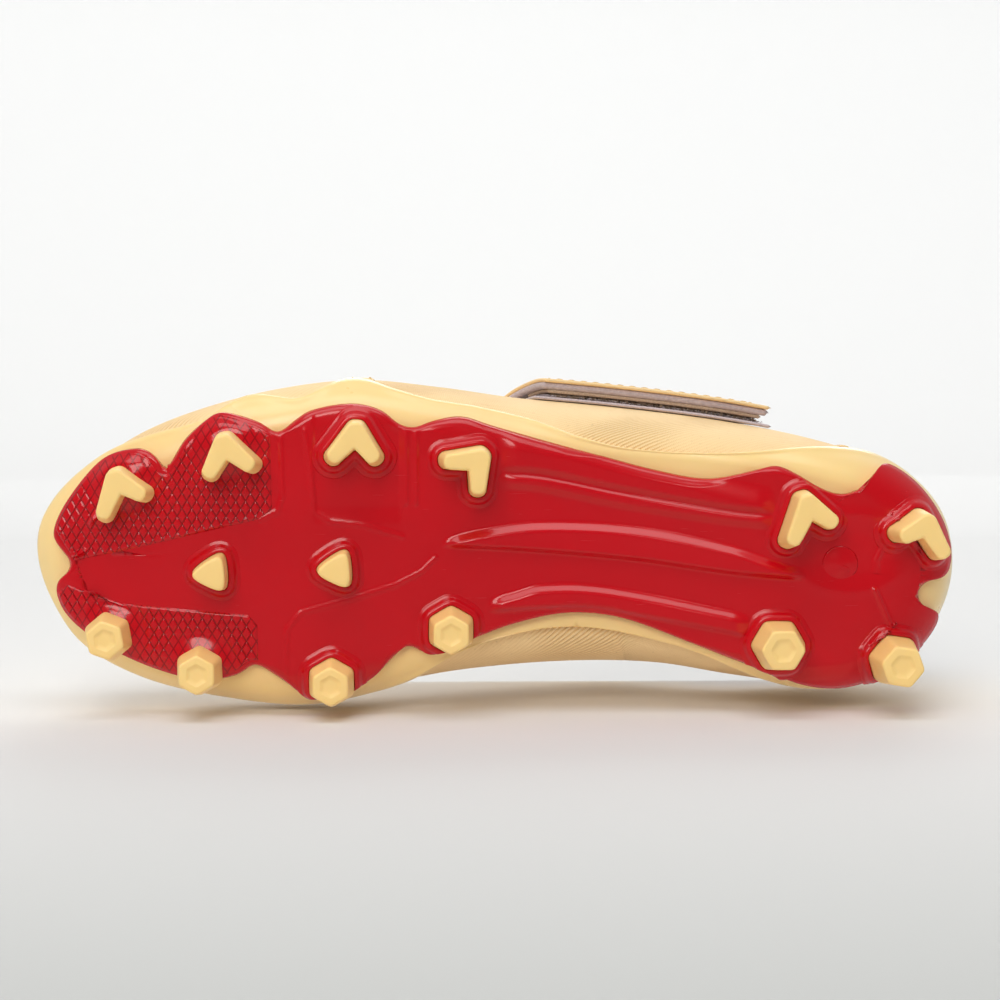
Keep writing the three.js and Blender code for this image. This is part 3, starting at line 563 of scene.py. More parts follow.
textile = ribbed("textile", (0.99, 0.72, 0.38), (0.80, 0.48, 0.18), (0.42, 0.22, 0.07), 1.5e-4,
                 Sheen_Weight=0.12, Sheen_Roughness=0.4, Specular_IOR_Level=0.35)


# %% Linings, foam facing and tapes
def brushed(name, colour, shadow, height, scale=1100.0, **constants):
    """Brushed cloth: short pile whose gaps are darker, over a slow drift of tone."""
    material, tree, shader = new_material(name, Roughness=0.9, **constants)
    group = place_group(tree, moulded, "object", Drift_Scale=120.0, Grain_Scale=scale)
    pile = add(tree, "MapRange", (-500, 150), From_Min=0.35, From_Max=0.65)
    tree.links.new(group.outputs["Grain"], pile.inputs[0])
    both = math_node(tree, "MULTIPLY", pile.outputs[0], group.outputs["Drift"], (-400, 150))
    tree.links.new(blend_colour(tree, both, shadow, colour), shader.inputs["Base Color"])
    bump(tree, shader, group.outputs["Grain"], height)
    return material


lining_grey = brushed("lining_grey", (0.70, 0.60, 0.62), (0.50, 0.41, 0.44), 2.5e-4, Sheen_Weight=0.3)
loop_grey = brushed("loop_grey", (0.72, 0.62, 0.64), (0.54, 0.45, 0.47), 3e-4, 1500.0, Sheen_Weight=0.3)
hook_brown = brushed("hook_brown", (0.66, 0.50, 0.37), (0.45, 0.32, 0.23), 2e-4, 1800.0)
foam_grey = brushed("foam_grey", (0.66, 0.62, 0.58), (0.5, 0.46, 0.42), 2e-4, 900.0, Sheen_Weight=0.2)
thread_cream = brushed("thread_cream", (0.86, 0.62, 0.30), (0.7, 0.47, 0.2), 1e-4, 3000.0)
print("materials:", [m.name for m in bpy.data.materials if m.users or m.use_nodes])

# %% [markdown]
# ## The studio
# The boot lies on its inner side, so its floor is upright in the boot's own frame. A product table is a
# sweep: a flat sheet that curves up behind the object, so that no horizon shows. It could be a box with a
# lit back wall, but the curve keeps the tone even. The sheet is made of one profile carried along the
# boot, and it is seen only from its lit side, so that it never hides the boot from behind. Beside the
# instep it sinks in a soft hollow, because the strap swings out past the side that the boot lies on. Its
# colour is painted darker towards the camera, as painted shade, and it hardly shows in the gloss, as if
# black card stood in front. Its curved back part has a painted glow that grows further back, though it
# is no lamp. Three large soft lights stand for the softboxes of a small studio: one over the boot, one
# beside the camera, and one on the far side for the upper. A weak warm one below stands for a card that
# throws light back into the shadows.

# %% Camera, at the angle that shows the sole
LOOK_AT = np.array([0.0004, 0.0119, 0.010])
DISTANCE, TILT, YAW = 0.631, math.radians(4.0), math.radians(1.5)
back = np.array([math.sin(YAW), math.sin(TILT), -math.cos(TILT) * math.cos(YAW)])
back /= np.linalg.norm(back)
right = np.cross((0.0, 1.0, 0.0), back)
right /= np.linalg.norm(right)
up = np.cross(back, right)
camera_data = bpy.data.cameras.new("camera")
camera_data.lens, camera_data.sensor_width = 90.0, 36.0
camera_data.clip_start, camera_data.clip_end = 0.01, 20.0
camera = bpy.data.objects.new("camera", camera_data)
scene.collection.objects.link(camera)
place = np.eye(4)
place[:3, :3] = np.stack([right, up, back], 1)
place[:3, 3] = LOOK_AT + back * DISTANCE
camera.matrix_world = Matrix(place.tolist())
scene.camera = camera

# %% Sweep
HOLLOW_DEPTH = 0.0145
HOLLOW_ALONG, HOLLOW_AWAY = (-0.115, -0.045, 0.04, 0.09), (0.073, 0.1, 0.15, 0.32)


def within(rise_start, rise_end, fall_start, fall_end, value):
    """Smooth step up from 0 to 1 and, further on, down to 0 again."""
    return step(rise_start, rise_end, value) * (1 - step(fall_start, fall_end, value))


def profile_sheet(name, profile, columns):
    """Sheet of one profile in the upright plane (metres), carried straight along the boot, with the
    hollow: its depth times a share along the boot and a share away from the camera."""
    profile, columns = np.asarray(profile, float), np.asarray(columns, float)
    points = np.zeros((len(columns), len(profile), 3))
    points[..., 0], points[..., 1:] = columns[:, None], profile[None]
    points[..., 1] -= HOLLOW_DEPTH * within(*HOLLOW_ALONG, points[..., 0]) * within(
        *HOLLOW_AWAY, points[..., 2])
    mesh = bpy.data.meshes.new(name)
    mesh.from_pydata(points.reshape(-1, 3).tolist(), [], grid_faces(len(columns), len(profile)).tolist())
    mesh.polygons.foreach_set("use_smooth", np.ones(len(mesh.polygons), bool))
    obj = bpy.data.objects.new(name, mesh)
    scene.collection.objects.link(obj)
    return obj


FLOOR, BEND, BEHIND, NEAR, TOP = cad_low.y - 0.0002, 0.5, 0.55, -1.6, 2.2
quarter = np.linspace(0, math.pi / 2, 24)
curved = np.stack([FLOOR + BEND - BEND * np.cos(quarter), BEHIND + BEND * np.sin(quarter)], -1)
flat = [(FLOOR, z) for z in np.linspace(0.06, 0.34, 60)]
across = [-3.0, *np.linspace(-0.13, 0.1, 60), 3.0]
sweep = profile_sheet("sweep", [(FLOOR, NEAR), *flat, *curved, (TOP, BEHIND + BEND)], across)
sweep.visible_shadow = False
paper, tree, shader = new_material("sweep_paper", Roughness=0.9, Specular_IOR_Level=0.1)
depth = add(tree, "SeparateXYZ", (-900, 0))
tree.links.new(add(tree, "TexCoord", (-1100, 0)).outputs["Object"], depth.inputs[0])
# Painted shade: the paper's colour runs from a dark grey near the camera to a pale grey further back.
painted_falloff_share = add(tree, "MapRange", (-700, 0), From_Min=-0.3, From_Max=-0.02)
tree.links.new(depth.outputs["Z"], painted_falloff_share.inputs[0])
tree.links.new(blend_colour(tree, painted_falloff_share.outputs[0], (0.46, 0.47, 0.46), (0.76, 0.76, 0.755)),
               shader.inputs["Base Color"])
# Painted glow: the sheet emits light, none where it starts to curve up and most near its top.
shader.inputs["Emission Color"].default_value = (0.97, 0.99, 1.0, 1.0)
painted_glow = add(tree, "MapRange", (-700, -300), From_Min=0.54, From_Max=1.0, To_Max=0.36)
tree.links.new(depth.outputs["Z"], painted_glow.inputs[0])
tree.links.new(painted_glow.outputs[0], shader.inputs["Emission Strength"])
clear, one_side = add(tree, "BsdfTransparent", (200, -200)), add(tree, "MixShader", (400, 0))
GLOSS_HIDDEN = 0.75
ray, face = add(tree, "LightPath", (0, 400)), add(tree, "NewGeometry", (200, 200))
gloss = math_node(tree, "MULTIPLY", ray.outputs["Is Glossy Ray"], GLOSS_HIDDEN, (200, 400))
hidden = math_node(tree, "MAXIMUM", face.outputs["Backfacing"], gloss, (300, 300))
tree.links.new(hidden, one_side.inputs[0])
tree.links.new(shader.outputs[0], one_side.inputs[1])
tree.links.new(clear.outputs[0], one_side.inputs[2])
tree.links.new(one_side.outputs[0], tree.nodes["Material Output"].inputs[0])
sweep.data.materials.append(paper)
sweep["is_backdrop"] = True
print("floor at", round(1000 * FLOOR, 2), "mm; sweep faces up:", sweep.data.polygons[0].normal.y > 0)


# %% Lights
def softbox(name, at, size, watts, colour=(1.0, 1.0, 1.0), aim=(0.0, 0.0, 0.02)):
    """Square area light at a place in metres, turned to the boot."""
    data = bpy.data.lights.new(name, "AREA")
    data.shape, data.size, data.size_y = "RECTANGLE", size[0], size[1]
    data.energy, data.color = watts, colour
    light = bpy.data.objects.new(name, data)
    scene.collection.objects.link(light)
    light.location = at
    light.rotation_euler = (Vector(aim) - Vector(at)).to_track_quat("-Z", "Y").to_euler()
    light.visible_camera = False
    return light


softbox("over_boot", (0.1, 1.5, -0.5), (1.6, 0.9), 12.0)
softbox("beside_camera", (0.35, 0.75, -1.25), (0.9, 0.6), 10.0, (1.0, 0.97, 0.92))
softbox("far_side", (-0.2, 0.8, 1.3), (0.9, 0.9), 8.0)
softbox("card_below", (0.1, -0.7, -0.5), (1.2, 0.8), 1.3, (1.0, 0.72, 0.42))

# %% Air: pale for the camera, darker from the camera's side for what the gloss reflects
world = bpy.data.worlds.new("studio")
scene.world = world
world.use_nodes = True
tree = world.node_tree
air = tree.nodes["Background"]
way = add(tree, "SeparateXYZ", (-700, 0))
tree.links.new(add(tree, "TexCoord", (-900, 0)).outputs["Generated"], way.inputs[0])
lit = add(tree, "MapRange", (-500, 0), interpolation_type="SMOOTHSTEP", From_Min=-0.9, From_Max=0.5,
          To_Min=0.16, To_Max=0.5)
tree.links.new(way.outputs["Z"], lit.inputs[0])
seen = add(tree, "LightPath", (-500, 250))
share = add(tree, "Mix", (-250, 100), data_type="FLOAT")
tree.links.new(seen.outputs["Is Camera Ray"], share.inputs[0])
tree.links.new(lit.outputs[0], share.inputs[2])
share.inputs[3].default_value = 0.9
tree.links.new(share.outputs[0], air.inputs["Strength"])
air.inputs["Color"].default_value = (0.985, 0.995, 1.0, 1.0)
scene.view_settings.view_transform = "Standard"

# %% [markdown]
# ## The plate
# The outsole plate is one moulding: a scalloped edge that spreads under each stud, ribs along the waist
# that stiffen it, a shallow dish under the heel, fine raised lines where its panels meet, and two pads of
# raised scales under the toes. It could be carved with booleans, but those leave ragged shading on a
# glossy curve. Instead the plate is a grid whose columns run from the middle of the sole out to each
# point of the scalloped edge, and its relief is a height that depends on the place on the sole.

# %% Scalloped edge
scallops = np.array([
    (235, 0.5), (233.5, 6), (229.5, 12.5), (225, 18), (221, 21.5), (217, 23), (211.5, 23.5),
    (208, 21.5), (205, 17.5), (202.5, 21.5), (200, 26), (193, 32.5), (190, 33), (181, 30),
    (176.5, 27), (172.5, 30), (168.5, 33), (157.5, 35), (150, 33), (145.5, 29), (141.5, 28.3),
    (138, 30), (130, 31.7), (123, 29.5), (110, 25.5), (95, 21), (80, 17), (67.5, 15), (56, 17),
    (50, 18.7), (46, 17), (38.5, 12.6), (33, 11), (27.5, 12.8), (23, 18), (20.5, 19.5), (13.5, 15.5),
    (8, 9.5), (4, 2), (2.6, -6), (4.5, -10.5), (11, -12), (13, -14.5), (11, -18), (6, -20.5),
    (6.5, -24), (10, -29), (17, -35.5), (24, -38.5), (33, -40.3), (43, -39), (54.5, -34.5),
    (75, -25.8), (90, -20.6), (102.5, -19.4), (115, -21.6), (126, -25.4), (133.5, -29.5),
    (138.5, -29.8), (143.5, -27.2), (147.5, -30.5), (152.5, -36.5), (160.5, -40.5), (170, -41),
    (175, -36.8), (182.5, -31.8), (187, -35), (196, -37), (206, -35), (217.5, -30.4), (226, -25.4),
    (232, -20), (234.5, -14.5), (234, -11.5), (230.5, -8.5), (230, -6), (232.5, -3.2)])


def closed_curve(points, count, soften=0):
    """Closed curve of evenly spaced points through the given ones, softened by averaging neighbours."""
    gaps = np.linalg.norm(np.roll(points, -1, 0) - points, axis=1)
    at = np.concatenate([[0], np.cumsum(gaps)])
    axes = [curve(list(zip(at[:-1], points[:, k])), at[-1]) for k in range(points.shape[1])]
    s = np.linspace(0, at[-1], count, endpoint=False)
    found = np.stack([axis(s) for axis in axes], -1)
    for _ in range(soften):
        found = (np.roll(found, 1, 0) + 2 * found + np.roll(found, -1, 0)) / 4
    return found


EDGE_COLUMNS, PLATE_ROWS = 1300, 62
edge_line = closed_curve(scallops, EDGE_COLUMNS, 14)
PLATE_INNER, PLATE_OUTER = REACH + GAP, REACH + GAP + PLATE


def find_on_sole(plan, offset):
    """Turn and level of the points of an offset sole that stand over the given plan points: Newton's
    method from the nearest point of a ring near the edge, with its steps kept short."""
    ring_turns = np.linspace(0, tau, 240, endpoint=False)
    ring = skin(ring_turns, np.full(240, 0.05), offset)[:, :2]
    nearest = np.argmin(((plan[:, None] - ring[None]) ** 2).sum(-1), 1)
    turn, level = ring_turns[nearest], np.full(len(plan), 0.02)
    nudge = 1e-3
    for _ in range(6):
        here = skin(turn, level, offset)[:, :2]
        d_turn = (skin(turn + nudge, level, offset)[:, :2] - here) / nudge
        d_level = (skin(turn, level + nudge, offset)[:, :2] - here) / nudge
        miss = plan - here
        area = d_turn[:, 0] * d_level[:, 1] - d_turn[:, 1] * d_level[:, 0]
        area = np.where(np.abs(area) < 1e-6, 1e-6, area)
        move_turn = (miss[:, 0] * d_level[:, 1] - miss[:, 1] * d_level[:, 0]) / area
        move_level = (d_turn[:, 0] * miss[:, 1] - d_turn[:, 1] * miss[:, 0]) / area
        turn = turn + np.clip(move_turn, -0.12, 0.12)
        level = np.clip(level + np.clip(move_level, -0.2, 0.2), -0.97, 0.3)
    return turn, level


def under_sole(plan, offset):
    """Points of the sole's surface at an offset from the last, under plan points. Where the search for a
    point misses, it takes the height of the sole's middle at the same length."""
    plan = np.asarray(plan, float)
    flat = plan.reshape(-1, 2)
    turn, level = find_on_sole(flat, offset)
    found = skin(turn, level, offset)
    middle_x = np.linspace(0, LENGTH, 400)
    middle_turn = turn_at(middle_x)
    sole = skin(middle_turn, np.full(400, -0.9), offset)
    order = np.argsort(sole[:, 0])
    level_z = np.interp(flat[:, 0], sole[order, 0], sole[order, 2])
    missed = np.linalg.norm(found[:, :2] - flat, axis=1) > 0.05
    z = np.where(missed, level_z, found[:, 2])
    return np.concatenate([flat, z[:, None]], 1).reshape(*plan.shape[:-1], 3)


edge_turn, edge_level = find_on_sole(edge_line, PLATE_OUTER)
edge_turn = np.unwrap(edge_turn)
print("plate edge reaches level", edge_level.min().round(3), "to", edge_level.max().round(3))

# %% Relief of the plate
RIB_SOFT, LINE_WIDTH = 1.1, 0.55


def rib(x, y, top, bottom, height, soft=(RIB_SOFT, RIB_SOFT)):
    """Raised band between two lines along the sole, each given as (x, y) points: a smooth step up at its
    outer line and down at its inner one. Where the lines meet, the band runs out to a point."""
    top, bottom = sorted(top), sorted(bottom)
    y_top, y_low = curve(top)(x), curve(bottom)(x)
    start, end = max(top[0][0], bottom[0][0]), min(top[-1][0], bottom[-1][0])
    ends = step(start, start + 5, x) * (1 - step(end - 5, end, x))
    return height * ends * step(-soft[1], soft[1], y - y_low) * step(-soft[0], soft[0], y_top - y)


def raised_line(x, y, points, height, width=LINE_WIDTH):
    """Fine ridge along a line through points: a bell curve of the distance to its nearest stretch."""
    points = np.asarray(points, float)
    nearest = np.full(x.shape, 1e9)
    for start, end in zip(points[:-1], points[1:]):
        way = end - start
        s = np.clip(((x - start[0]) * way[0] + (y - start[1]) * way[1]) / (way @ way), 0, 1)
        nearest = np.minimum(nearest, np.hypot(x - start[0] - s * way[0], y - start[1] - s * way[1]))
    return height * np.exp(-((nearest / width) ** 2))


waist_ribs = [
    ([(121, 26), (110, 24), (90, 20), (62, 12.5), (50, 10)],
     [(121, 17.6), (110, 17.0), (90, 12.8), (62, 7.8), (50, 6.6)], 1.0, (3.0, 1.0)),
    ([(121, 16.2), (110, 15.3), (90, 11.2), (62, 6.4), (50, 5.2)],
     [(121, 13.5), (110, 12.4), (90, 8.2), (62, 3.9), (50, 2.8)], 0.8, (0.7, 1.2)),
    ([(135.5, -1.2), (125.4, 1.2), (110.2, 3.0), (85, 1.6), (62, -3.0), (49.6, -7.2), (42, -9.2)],
     [(135.5, -1.6), (125.4, -2.2), (110.2, -3.2), (85, -5.6), (62, -8.8), (49.6, -9.9),
      (42, -10.3)], 1.7, (1.4, 0.9)),
    ([(124, -16.6), (117, -14.8), (110.2, -13.0), (95, -13.4), (62, -19.6), (56, -21.2)],
     [(124, -18.8), (117, -18.2), (110.2, -17.8), (95, -18.4), (69, -22.8), (56, -25.4)],
     1.4, (1.4, 0.9))]
panel_lines = [
    ([(169.5, 27.5), (168.2, 18.5), (167.1, 7.4), (163.5, 4.6), (155, 3.6), (145, 0.6)], 0.26),
    ([(144.1, 28.4), (144.1, 9.2)], 0.4), ([(141.6, 28.4), (141.6, 9.2)], 0.4),
    ([(174.8, -36.0), (174.2, -22.6), (170.8, -18.5), (156.6, -14.6), (146.9, -11.6), (140.2, -8.2),
      (136.8, -4.9)], 0.3),
    ([(24.6, -13.4), (21.6, -20.0), (19.5, -25.0)], 0.7), ([(21, 1.0), (24.6, -6.8)], 0.5),
    ([(181.0, 5.0), (176.4, 7.3), (175.2, 11.0), (175.6, 27.0)], 0.3)]
# The dish under the heel: its middle, its reach along and across, and its depth.
DISH, DISH_RIM = (31.0, -4.0, 14.0, 9.0, 0.35), 0.12
FOREFOOT_PANEL_SINK = 0.35


def relief(x, y):
    """Height of the plate's moulding above its plain surface, in millimetres."""
    found = sum(rib(x, y, *entry) for entry in waist_ribs)
    found = found + sum(raised_line(x, y, points, height) for points, height in panel_lines)
    centre_x, centre_y, reach_x, reach_y, depth = DISH
    away = np.hypot((x - centre_x) / reach_x, (y - centre_y) / reach_y)
    found = found - depth * (1 - step(0.5, 1.1, away)) + DISH_RIM * np.exp(-(((away - 1.12) / 0.16) ** 2))
    panel = step(-0.6, 0.6, x - 145.5) * step(-0.6, 0.6, 167.2 - x) * step(-2.4, 2.4, y - 6.0)
    return found - FOREFOOT_PANEL_SINK * panel


# %% Plate body
RIM_ROUND, RIM_THIN, FLAT_MIDDLE = 1.1, 0.45, 0.14
opposite = edge_turn[-np.arange(EDGE_COLUMNS) % EDGE_COLUMNS]
shared_x = (outline_x(edge_turn) + outline_x(opposite)) / 2
middle_turn = turn_at(shared_x, np.where(edge_turn % tau < math.pi, 1, -1))
middle_turn = middle_turn + tau * np.round((edge_turn - middle_turn) / tau)


def plate_surface():
    """Outer face from the middle of the sole to the edge, a rounded rim, and a coarse inner face. Near
    the sole's middle the normals turn straight down, so that the two sides meet smoothly."""
    across = spread(PLATE_ROWS, 0.25)[:, None]
    level_rows = -1 + (edge_level + 1) * across
    turns = mix(middle_turn, edge_turn, across)
    base, normal = last(turns, level_rows), last_normal(turns, level_rows)
    normal = unit(mix(np.array([0.0, 0.0, -1.0]), normal, step(0.0, FLAT_MIDDLE, across)[..., None]))
    plain = base + normal * PLATE_OUTER
    far, _ = away_from_border(plain, "blr")
    rim = round_edge(far, RIM_ROUND)
    lift = PLATE_OUTER + (relief(plain[..., 0], plain[..., 1]) - 0.02) * step(0, 3, far)
    outer = base + normal * (PLATE_INNER + (lift - PLATE_INNER) * mix(RIM_THIN, 1, rim))[..., None]
    coarse = np.array([1.0, 0.97, 0.6, 0.0])[:, None]
    under_rows = -1 + (edge_level + 1) * coarse
    inner = skin(mix(middle_turn, edge_turn, coarse), under_rows, np.full(under_rows.shape, PLATE_INNER))
    return np.concatenate([outer, inner])


plate_points = plate_surface()
plate = make_mesh("plate_body", plate_points, grid_faces(len(plate_points), EDGE_COLUMNS, closed=True))
finish_piece(plate, plate_red, "shoe", "plate_red", "outsole_plate")

# %% [markdown]
# ## Studs and their collars
# Outer studs are blades bent to a V, so that they grip in a turn. Inner ones have six sides and centre
# ones three. Each stands in a raised collar of the plate. A V can't be made by scaling its outline, for
# its legs would grow thin, so each shape is a field instead: the distance to its nearest wall, with the
# inner corner filled by a soft minimum. A ring of the stud is the line where that field has one value,
# found along rays from the stud's middle, and a stud or collar is a stack of such rings.

# %% Stud shapes as distance fields
BLADE_HALF, BLADE_CORNER, COLLAR_HEIGHT = 2.85, 2.1, 2.0
# A tip's size beside its root's, by the stud's sides: 2 is a blade, with its two legs.
TIP_SHARE = {2: 0.87, 3: 0.9, 6: 0.8}
RAY_LIMIT = 26.0
ray_count = 112
rays = np.linspace(0, tau, ray_count, endpoint=False)
ray_way = np.stack([np.cos(rays), np.sin(rays)], -1)


def blade_field(x, y, stud, size):
    """Distance to a bent blade: each leg is a bar with rounded corners that narrows a little towards its
    end, and the two are joined by a soft minimum."""
    found = []
    for side, leg in ((1, stud["legs"][0]), (-1, stud["legs"][1])):
        angle = stud["facing"] + side * stud["spread"]
        along = x * math.cos(angle) + y * math.sin(angle)
        across = -x * math.sin(angle) + y * math.cos(angle)
        full, corner = BLADE_HALF * size, BLADE_CORNER * size
        half = full * (1.12 - 0.3 * np.clip(along / (leg * size), 0, 1))
        start, end = -full * 0.9, leg * size + full * 0.9
        dx = np.abs(along - (start + end) / 2) - (end - start) / 2 + corner
        dy = np.abs(across) - half + corner
        outside = np.hypot(np.maximum(dx, 0), np.maximum(dy, 0))
        found.append(outside + np.minimum(np.maximum(dx, dy), 0) - corner)
    soft = 0.5
    h = np.clip(0.5 + 0.5 * (found[1] - found[0]) / soft, 0, 1)
    return mix(found[1], found[0], h) - soft * h * (1 - h) * 0.8


def cut_field(x, y, stud, size):
    """Distance to a many-sided stud with softened corners: a soft maximum over its walls."""
    sides, reach = stud["sides"], stud["reach"] * size
    walls = stud["facing"] + (np.arange(sides) + 0.5) * tau / sides
    inner = reach * math.cos(math.pi / sides)
    sharp = (9.0 if sides == 6 else 2.4) / reach * 2
    wall = x[..., None] * np.cos(walls) + y[..., None] * np.sin(walls) - inner * 0.98
    return np.log(np.exp(sharp * wall).sum(-1)) / sharp


def ring(stud, size, grow, limit=RAY_LIMIT):
    """Plan points of the line where the stud's field has the value grow: halving along each ray, no
    further out than a limit. Round a many-sided stud a wider line is its wall line moved straight out,
    which rounds the corners."""
    if "legs" not in stud and grow > 0:
        wall = ring(stud, size, 0.0)
        along = np.roll(wall, -1, 0) - np.roll(wall, 1, 0)
        out = wall + unit(np.stack([along[:, 1], -along[:, 0]], -1)) * grow - np.array(stud["at"])
        for _ in range(2):
            out = (np.roll(out, 1, 0) + 2 * out + np.roll(out, -1, 0)) / 4
        far = np.linalg.norm(out, axis=1)
        return np.array(stud["at"]) + out * np.minimum(1, limit / far)[:, None]
    field = blade_field if "legs" in stud else cut_field
    near, far = np.zeros(ray_count), np.ones(ray_count) * limit
    for _ in range(26):
        middle = (near + far) / 2
        inside = field(ray_way[:, 0] * middle, ray_way[:, 1] * middle, stud, size) < grow
        near, far = np.where(inside, middle, near), np.where(inside, far, middle)
    return np.array(stud["at"]) + ray_way * near[:, None]


def blade(x, y, facing, spread_angle, legs, lift=0.0):
    """A blade stud: its middle, the way that its V opens, half the V's angle, and its legs' lengths."""
    return {"at": (x, y), "facing": math.radians(facing), "spread": math.radians(spread_angle + 3),
            "legs": (legs[0] + 0.5, legs[1] + 0.5), "lift": lift}


def cut(x, y, facing, sides, reach, lift=0.0):
    """A many-sided stud: its middle, the way that a corner faces, its sides, and its reach to a corner."""
    return {"at": (x, y), "facing": math.radians(facing), "sides": sides, "reach": reach, "lift": lift}


studs = {
    "stud_outer_1": blade(216.4, 15.3, -110, 38, (8.6, 6.6), 4.4),
    "stud_outer_2": blade(189.1, 24.3, -102, 37, (7.4, 7.6)),
    "stud_outer_3": blade(156.6, 27.2, -87, 37, (7.6, 7.0)),
    "stud_outer_4": blade(125.8, 20.5, -45.5, 39.5, (7.2, 6.8)),
    "stud_outer_5": blade(43.6, 9.1, -106, 36, (9.4, 7.0)),
    "stud_outer_6": blade(13.8, 4.1, -74, 44, (5.6, 8.0)),
    "stud_centre_1": cut(192.6, -8, -4, 3, 7.6, 2.4),
    "stud_centre_2": cut(161.4, -7.2, -4, 3, 7.6, 2.4),
    "stud_inner_1": cut(219.5, -24.7, 20, 6, 6.6, 4.4),
    "stud_inner_2": cut(196.3, -33, 30, 6, 6.6),
    "stud_inner_3": cut(163, -36, 30, 6, 6.6),
    "stud_inner_4": cut(132.8, -23.1, 30, 6, 6.6),
    "stud_inner_5": cut(49.6, -27.3, 0, 6, 7.3),
    "stud_inner_6": cut(19.5, -31.5, 10, 6, 7.3)}


# %% Studs
def stud_rings(stud):
    """Rings of a stud from its middle at the tip outwards and up. The tip is flat with a low boss, its
    edge is a quarter circle, and the wall widens straight to the root inside the collar."""
    surface = float(plate_z(stud["at"][0] / LENGTH))
    tip, round_tip, lift = 0.8 if "legs" in stud else 0.7, 8, stud["lift"]
    hexagon, tip_share = stud.get("sides") == 6, TIP_SHARE[stud.get("sides", 2)]
    rows = [(0.02, lift + 0.3), (0.28, lift + 0.3), (0.50, lift + 0.3),
            (0.56, lift), (0.62, lift)] if hexagon else [(0.05, lift), (0.2, lift), (0.4, lift)]
    rings = [(share * tip_share, None, z) for share, z in rows]
    for angle in np.linspace(0, math.pi / 2, round_tip):
        rings.append((tip_share, -tip * (1 - math.sin(angle)), lift + tip * (1 - math.cos(angle))))
    top = surface - COLLAR_HEIGHT
    for share in np.linspace(0, 1, 9)[1:]:
        rings.append((mix(tip_share, 1.0, share), 0.0, mix(lift + tip, top, share)))
    rings.append((1.0, 0.0, surface + 3.0))
    found = []
    for size, grow, z in rings:
        plan = ring(stud, size, 0.0 if grow is None else grow)
        found.append(np.concatenate([plan, np.full((ray_count, 1), z)], 1))
    return np.array(found)


def capped(rings):
    """Stack of rings with both ends closed by a ring drawn together to its middle."""
    ends = [np.broadcast_to(end.mean(0), end.shape) for end in (rings[0], rings[-1])]
    return np.concatenate([ends[0][None], rings, ends[1][None]])


for name, stud in studs.items():
    stack = capped(stud_rings(stud))
    piece = make_mesh(name + "_cap", stack, grid_faces(len(stack), ray_count, closed=True))
    finish_piece(piece, stud_cream, "shoe", "stud_cream", name)


# %% Collars: a profile carried round each stud
def way_to_edge(stud):
    """Distance from the stud's middle to the scalloped edge along each ray."""
    start = edge_line - np.array(stud["at"])
    way = np.roll(start, -1, 0) - start
    cross = ray_way[:, None, 0] * way[None, :, 1] - ray_way[:, None, 1] * way[None, :, 0]
    cross = np.where(np.abs(cross) < 1e-9, 1e-9, cross)
    out = (start[None, :, 0] * way[None, :, 1] - start[None, :, 1] * way[None, :, 0]) / cross
    share = (start[None, :, 0] * ray_way[:, None, 1] - start[None, :, 1] * ray_way[:, None, 0]) / cross
    hit = (share >= 0) & (share <= 1) & (out > 0)
    return np.where(hit, out, RAY_LIMIT).min(1)


def collar(stud):
    """Rings from the plate up a hollow flank, over a rounded top and down beside the stud."""
    high, wide, top_out, top_in = COLLAR_HEIGHT, 3.3, 1.7, 0.2
    s = np.linspace(0, 1, 9)
    flank = [(wide * (1 - share), high * share**1.7 * 0.86 - 0.25 * (share < 0.01)) for share in s * 0.62]
    crest = [(mix(top_out, top_in, share),
              high * (0.74 + 0.26 * math.sin(math.pi * min(share * 1.4, 1) / 2)))
             for share in np.linspace(0.1, 1, 7)]
    profile = [p for p in flank if p[0] > top_out + 0.1] + crest + [(0.12, high * 0.9), (0.05, -0.6)]
    rows = []
    reach = way_to_edge(stud)
    for _ in range(6):
        reach = np.minimum(reach, (np.roll(reach, 1) + 2 * reach + np.roll(reach, -1)) / 4)
    for grow, height in profile:
        plan = ring(stud, 1.0, grow, reach - 0.5 - 0.12 * max(wide - grow, 0))
        base = under_sole(plan, PLATE_OUTER - 0.05)
        base[:, 2] -= height
        rows.append(base)
    return np.array(rows)


# The scaled pads rise round these four, so they have no collar of their own.
on_pads = {"stud_outer_1", "stud_outer_2", "stud_inner_1", "stud_inner_2"}
for name, stud in studs.items():
    if name in on_pads:
        continue
    rings = collar(stud)
    inner, outer = (rings[end] + (0, 0, 0.6) for end in (-1, 0))
    stack = np.concatenate([rings, inner[None], outer[None], rings[:1]])
    piece = make_mesh(name.replace("stud", "collar"), stack, grid_faces(len(stack), ray_count, closed=True))
    finish_piece(piece, plate_red, "shoe", "plate_red", "outsole_plate")

# %% Gate mark: the low dome where the plastic entered the mould, its border sunk in the plate
GATE_AT, GATE_RADIUS, GATE_HEIGHT, GATE_SINK = np.array([33.6, -6.7]), 4.6, 0.75, 0.35
share = np.linspace(0.02, 1, 14)[:, None]
plan = GATE_AT + GATE_RADIUS * share[..., None] * ray_way[None]
dome = under_sole(plan, PLATE_OUTER)
dome[..., 2] += GATE_SINK - GATE_HEIGHT * np.cos(share * math.pi / 2) ** 1.4
dome = np.concatenate([np.broadcast_to(dome[0].mean(0), dome[:1].shape), dome,
                       np.broadcast_to(dome[-1].mean(0) + (0, 0, 0.8), dome[:1].shape)])
gate = make_mesh("gate_mark", dome, grid_faces(len(dome), ray_count, closed=True))
finish_piece(gate, plate_red, "shoe", "plate_red", "outsole_plate")

# %% [markdown]
# ## Scaled pads under the toes
# Under the toes the plate carries two pads of small raised scales. The grooves between them are only
# half a millimetre wide, finer than the plate's own grid, so each pad is its own fine grid laid on the
# plate: one side follows the scalloped edge a little way in, and the other follows the pad's inner line.
# The scales come from two families of slanting waves, whose crossings leave lozenges between them. Round
# each stud the pad runs out to a smooth cone.

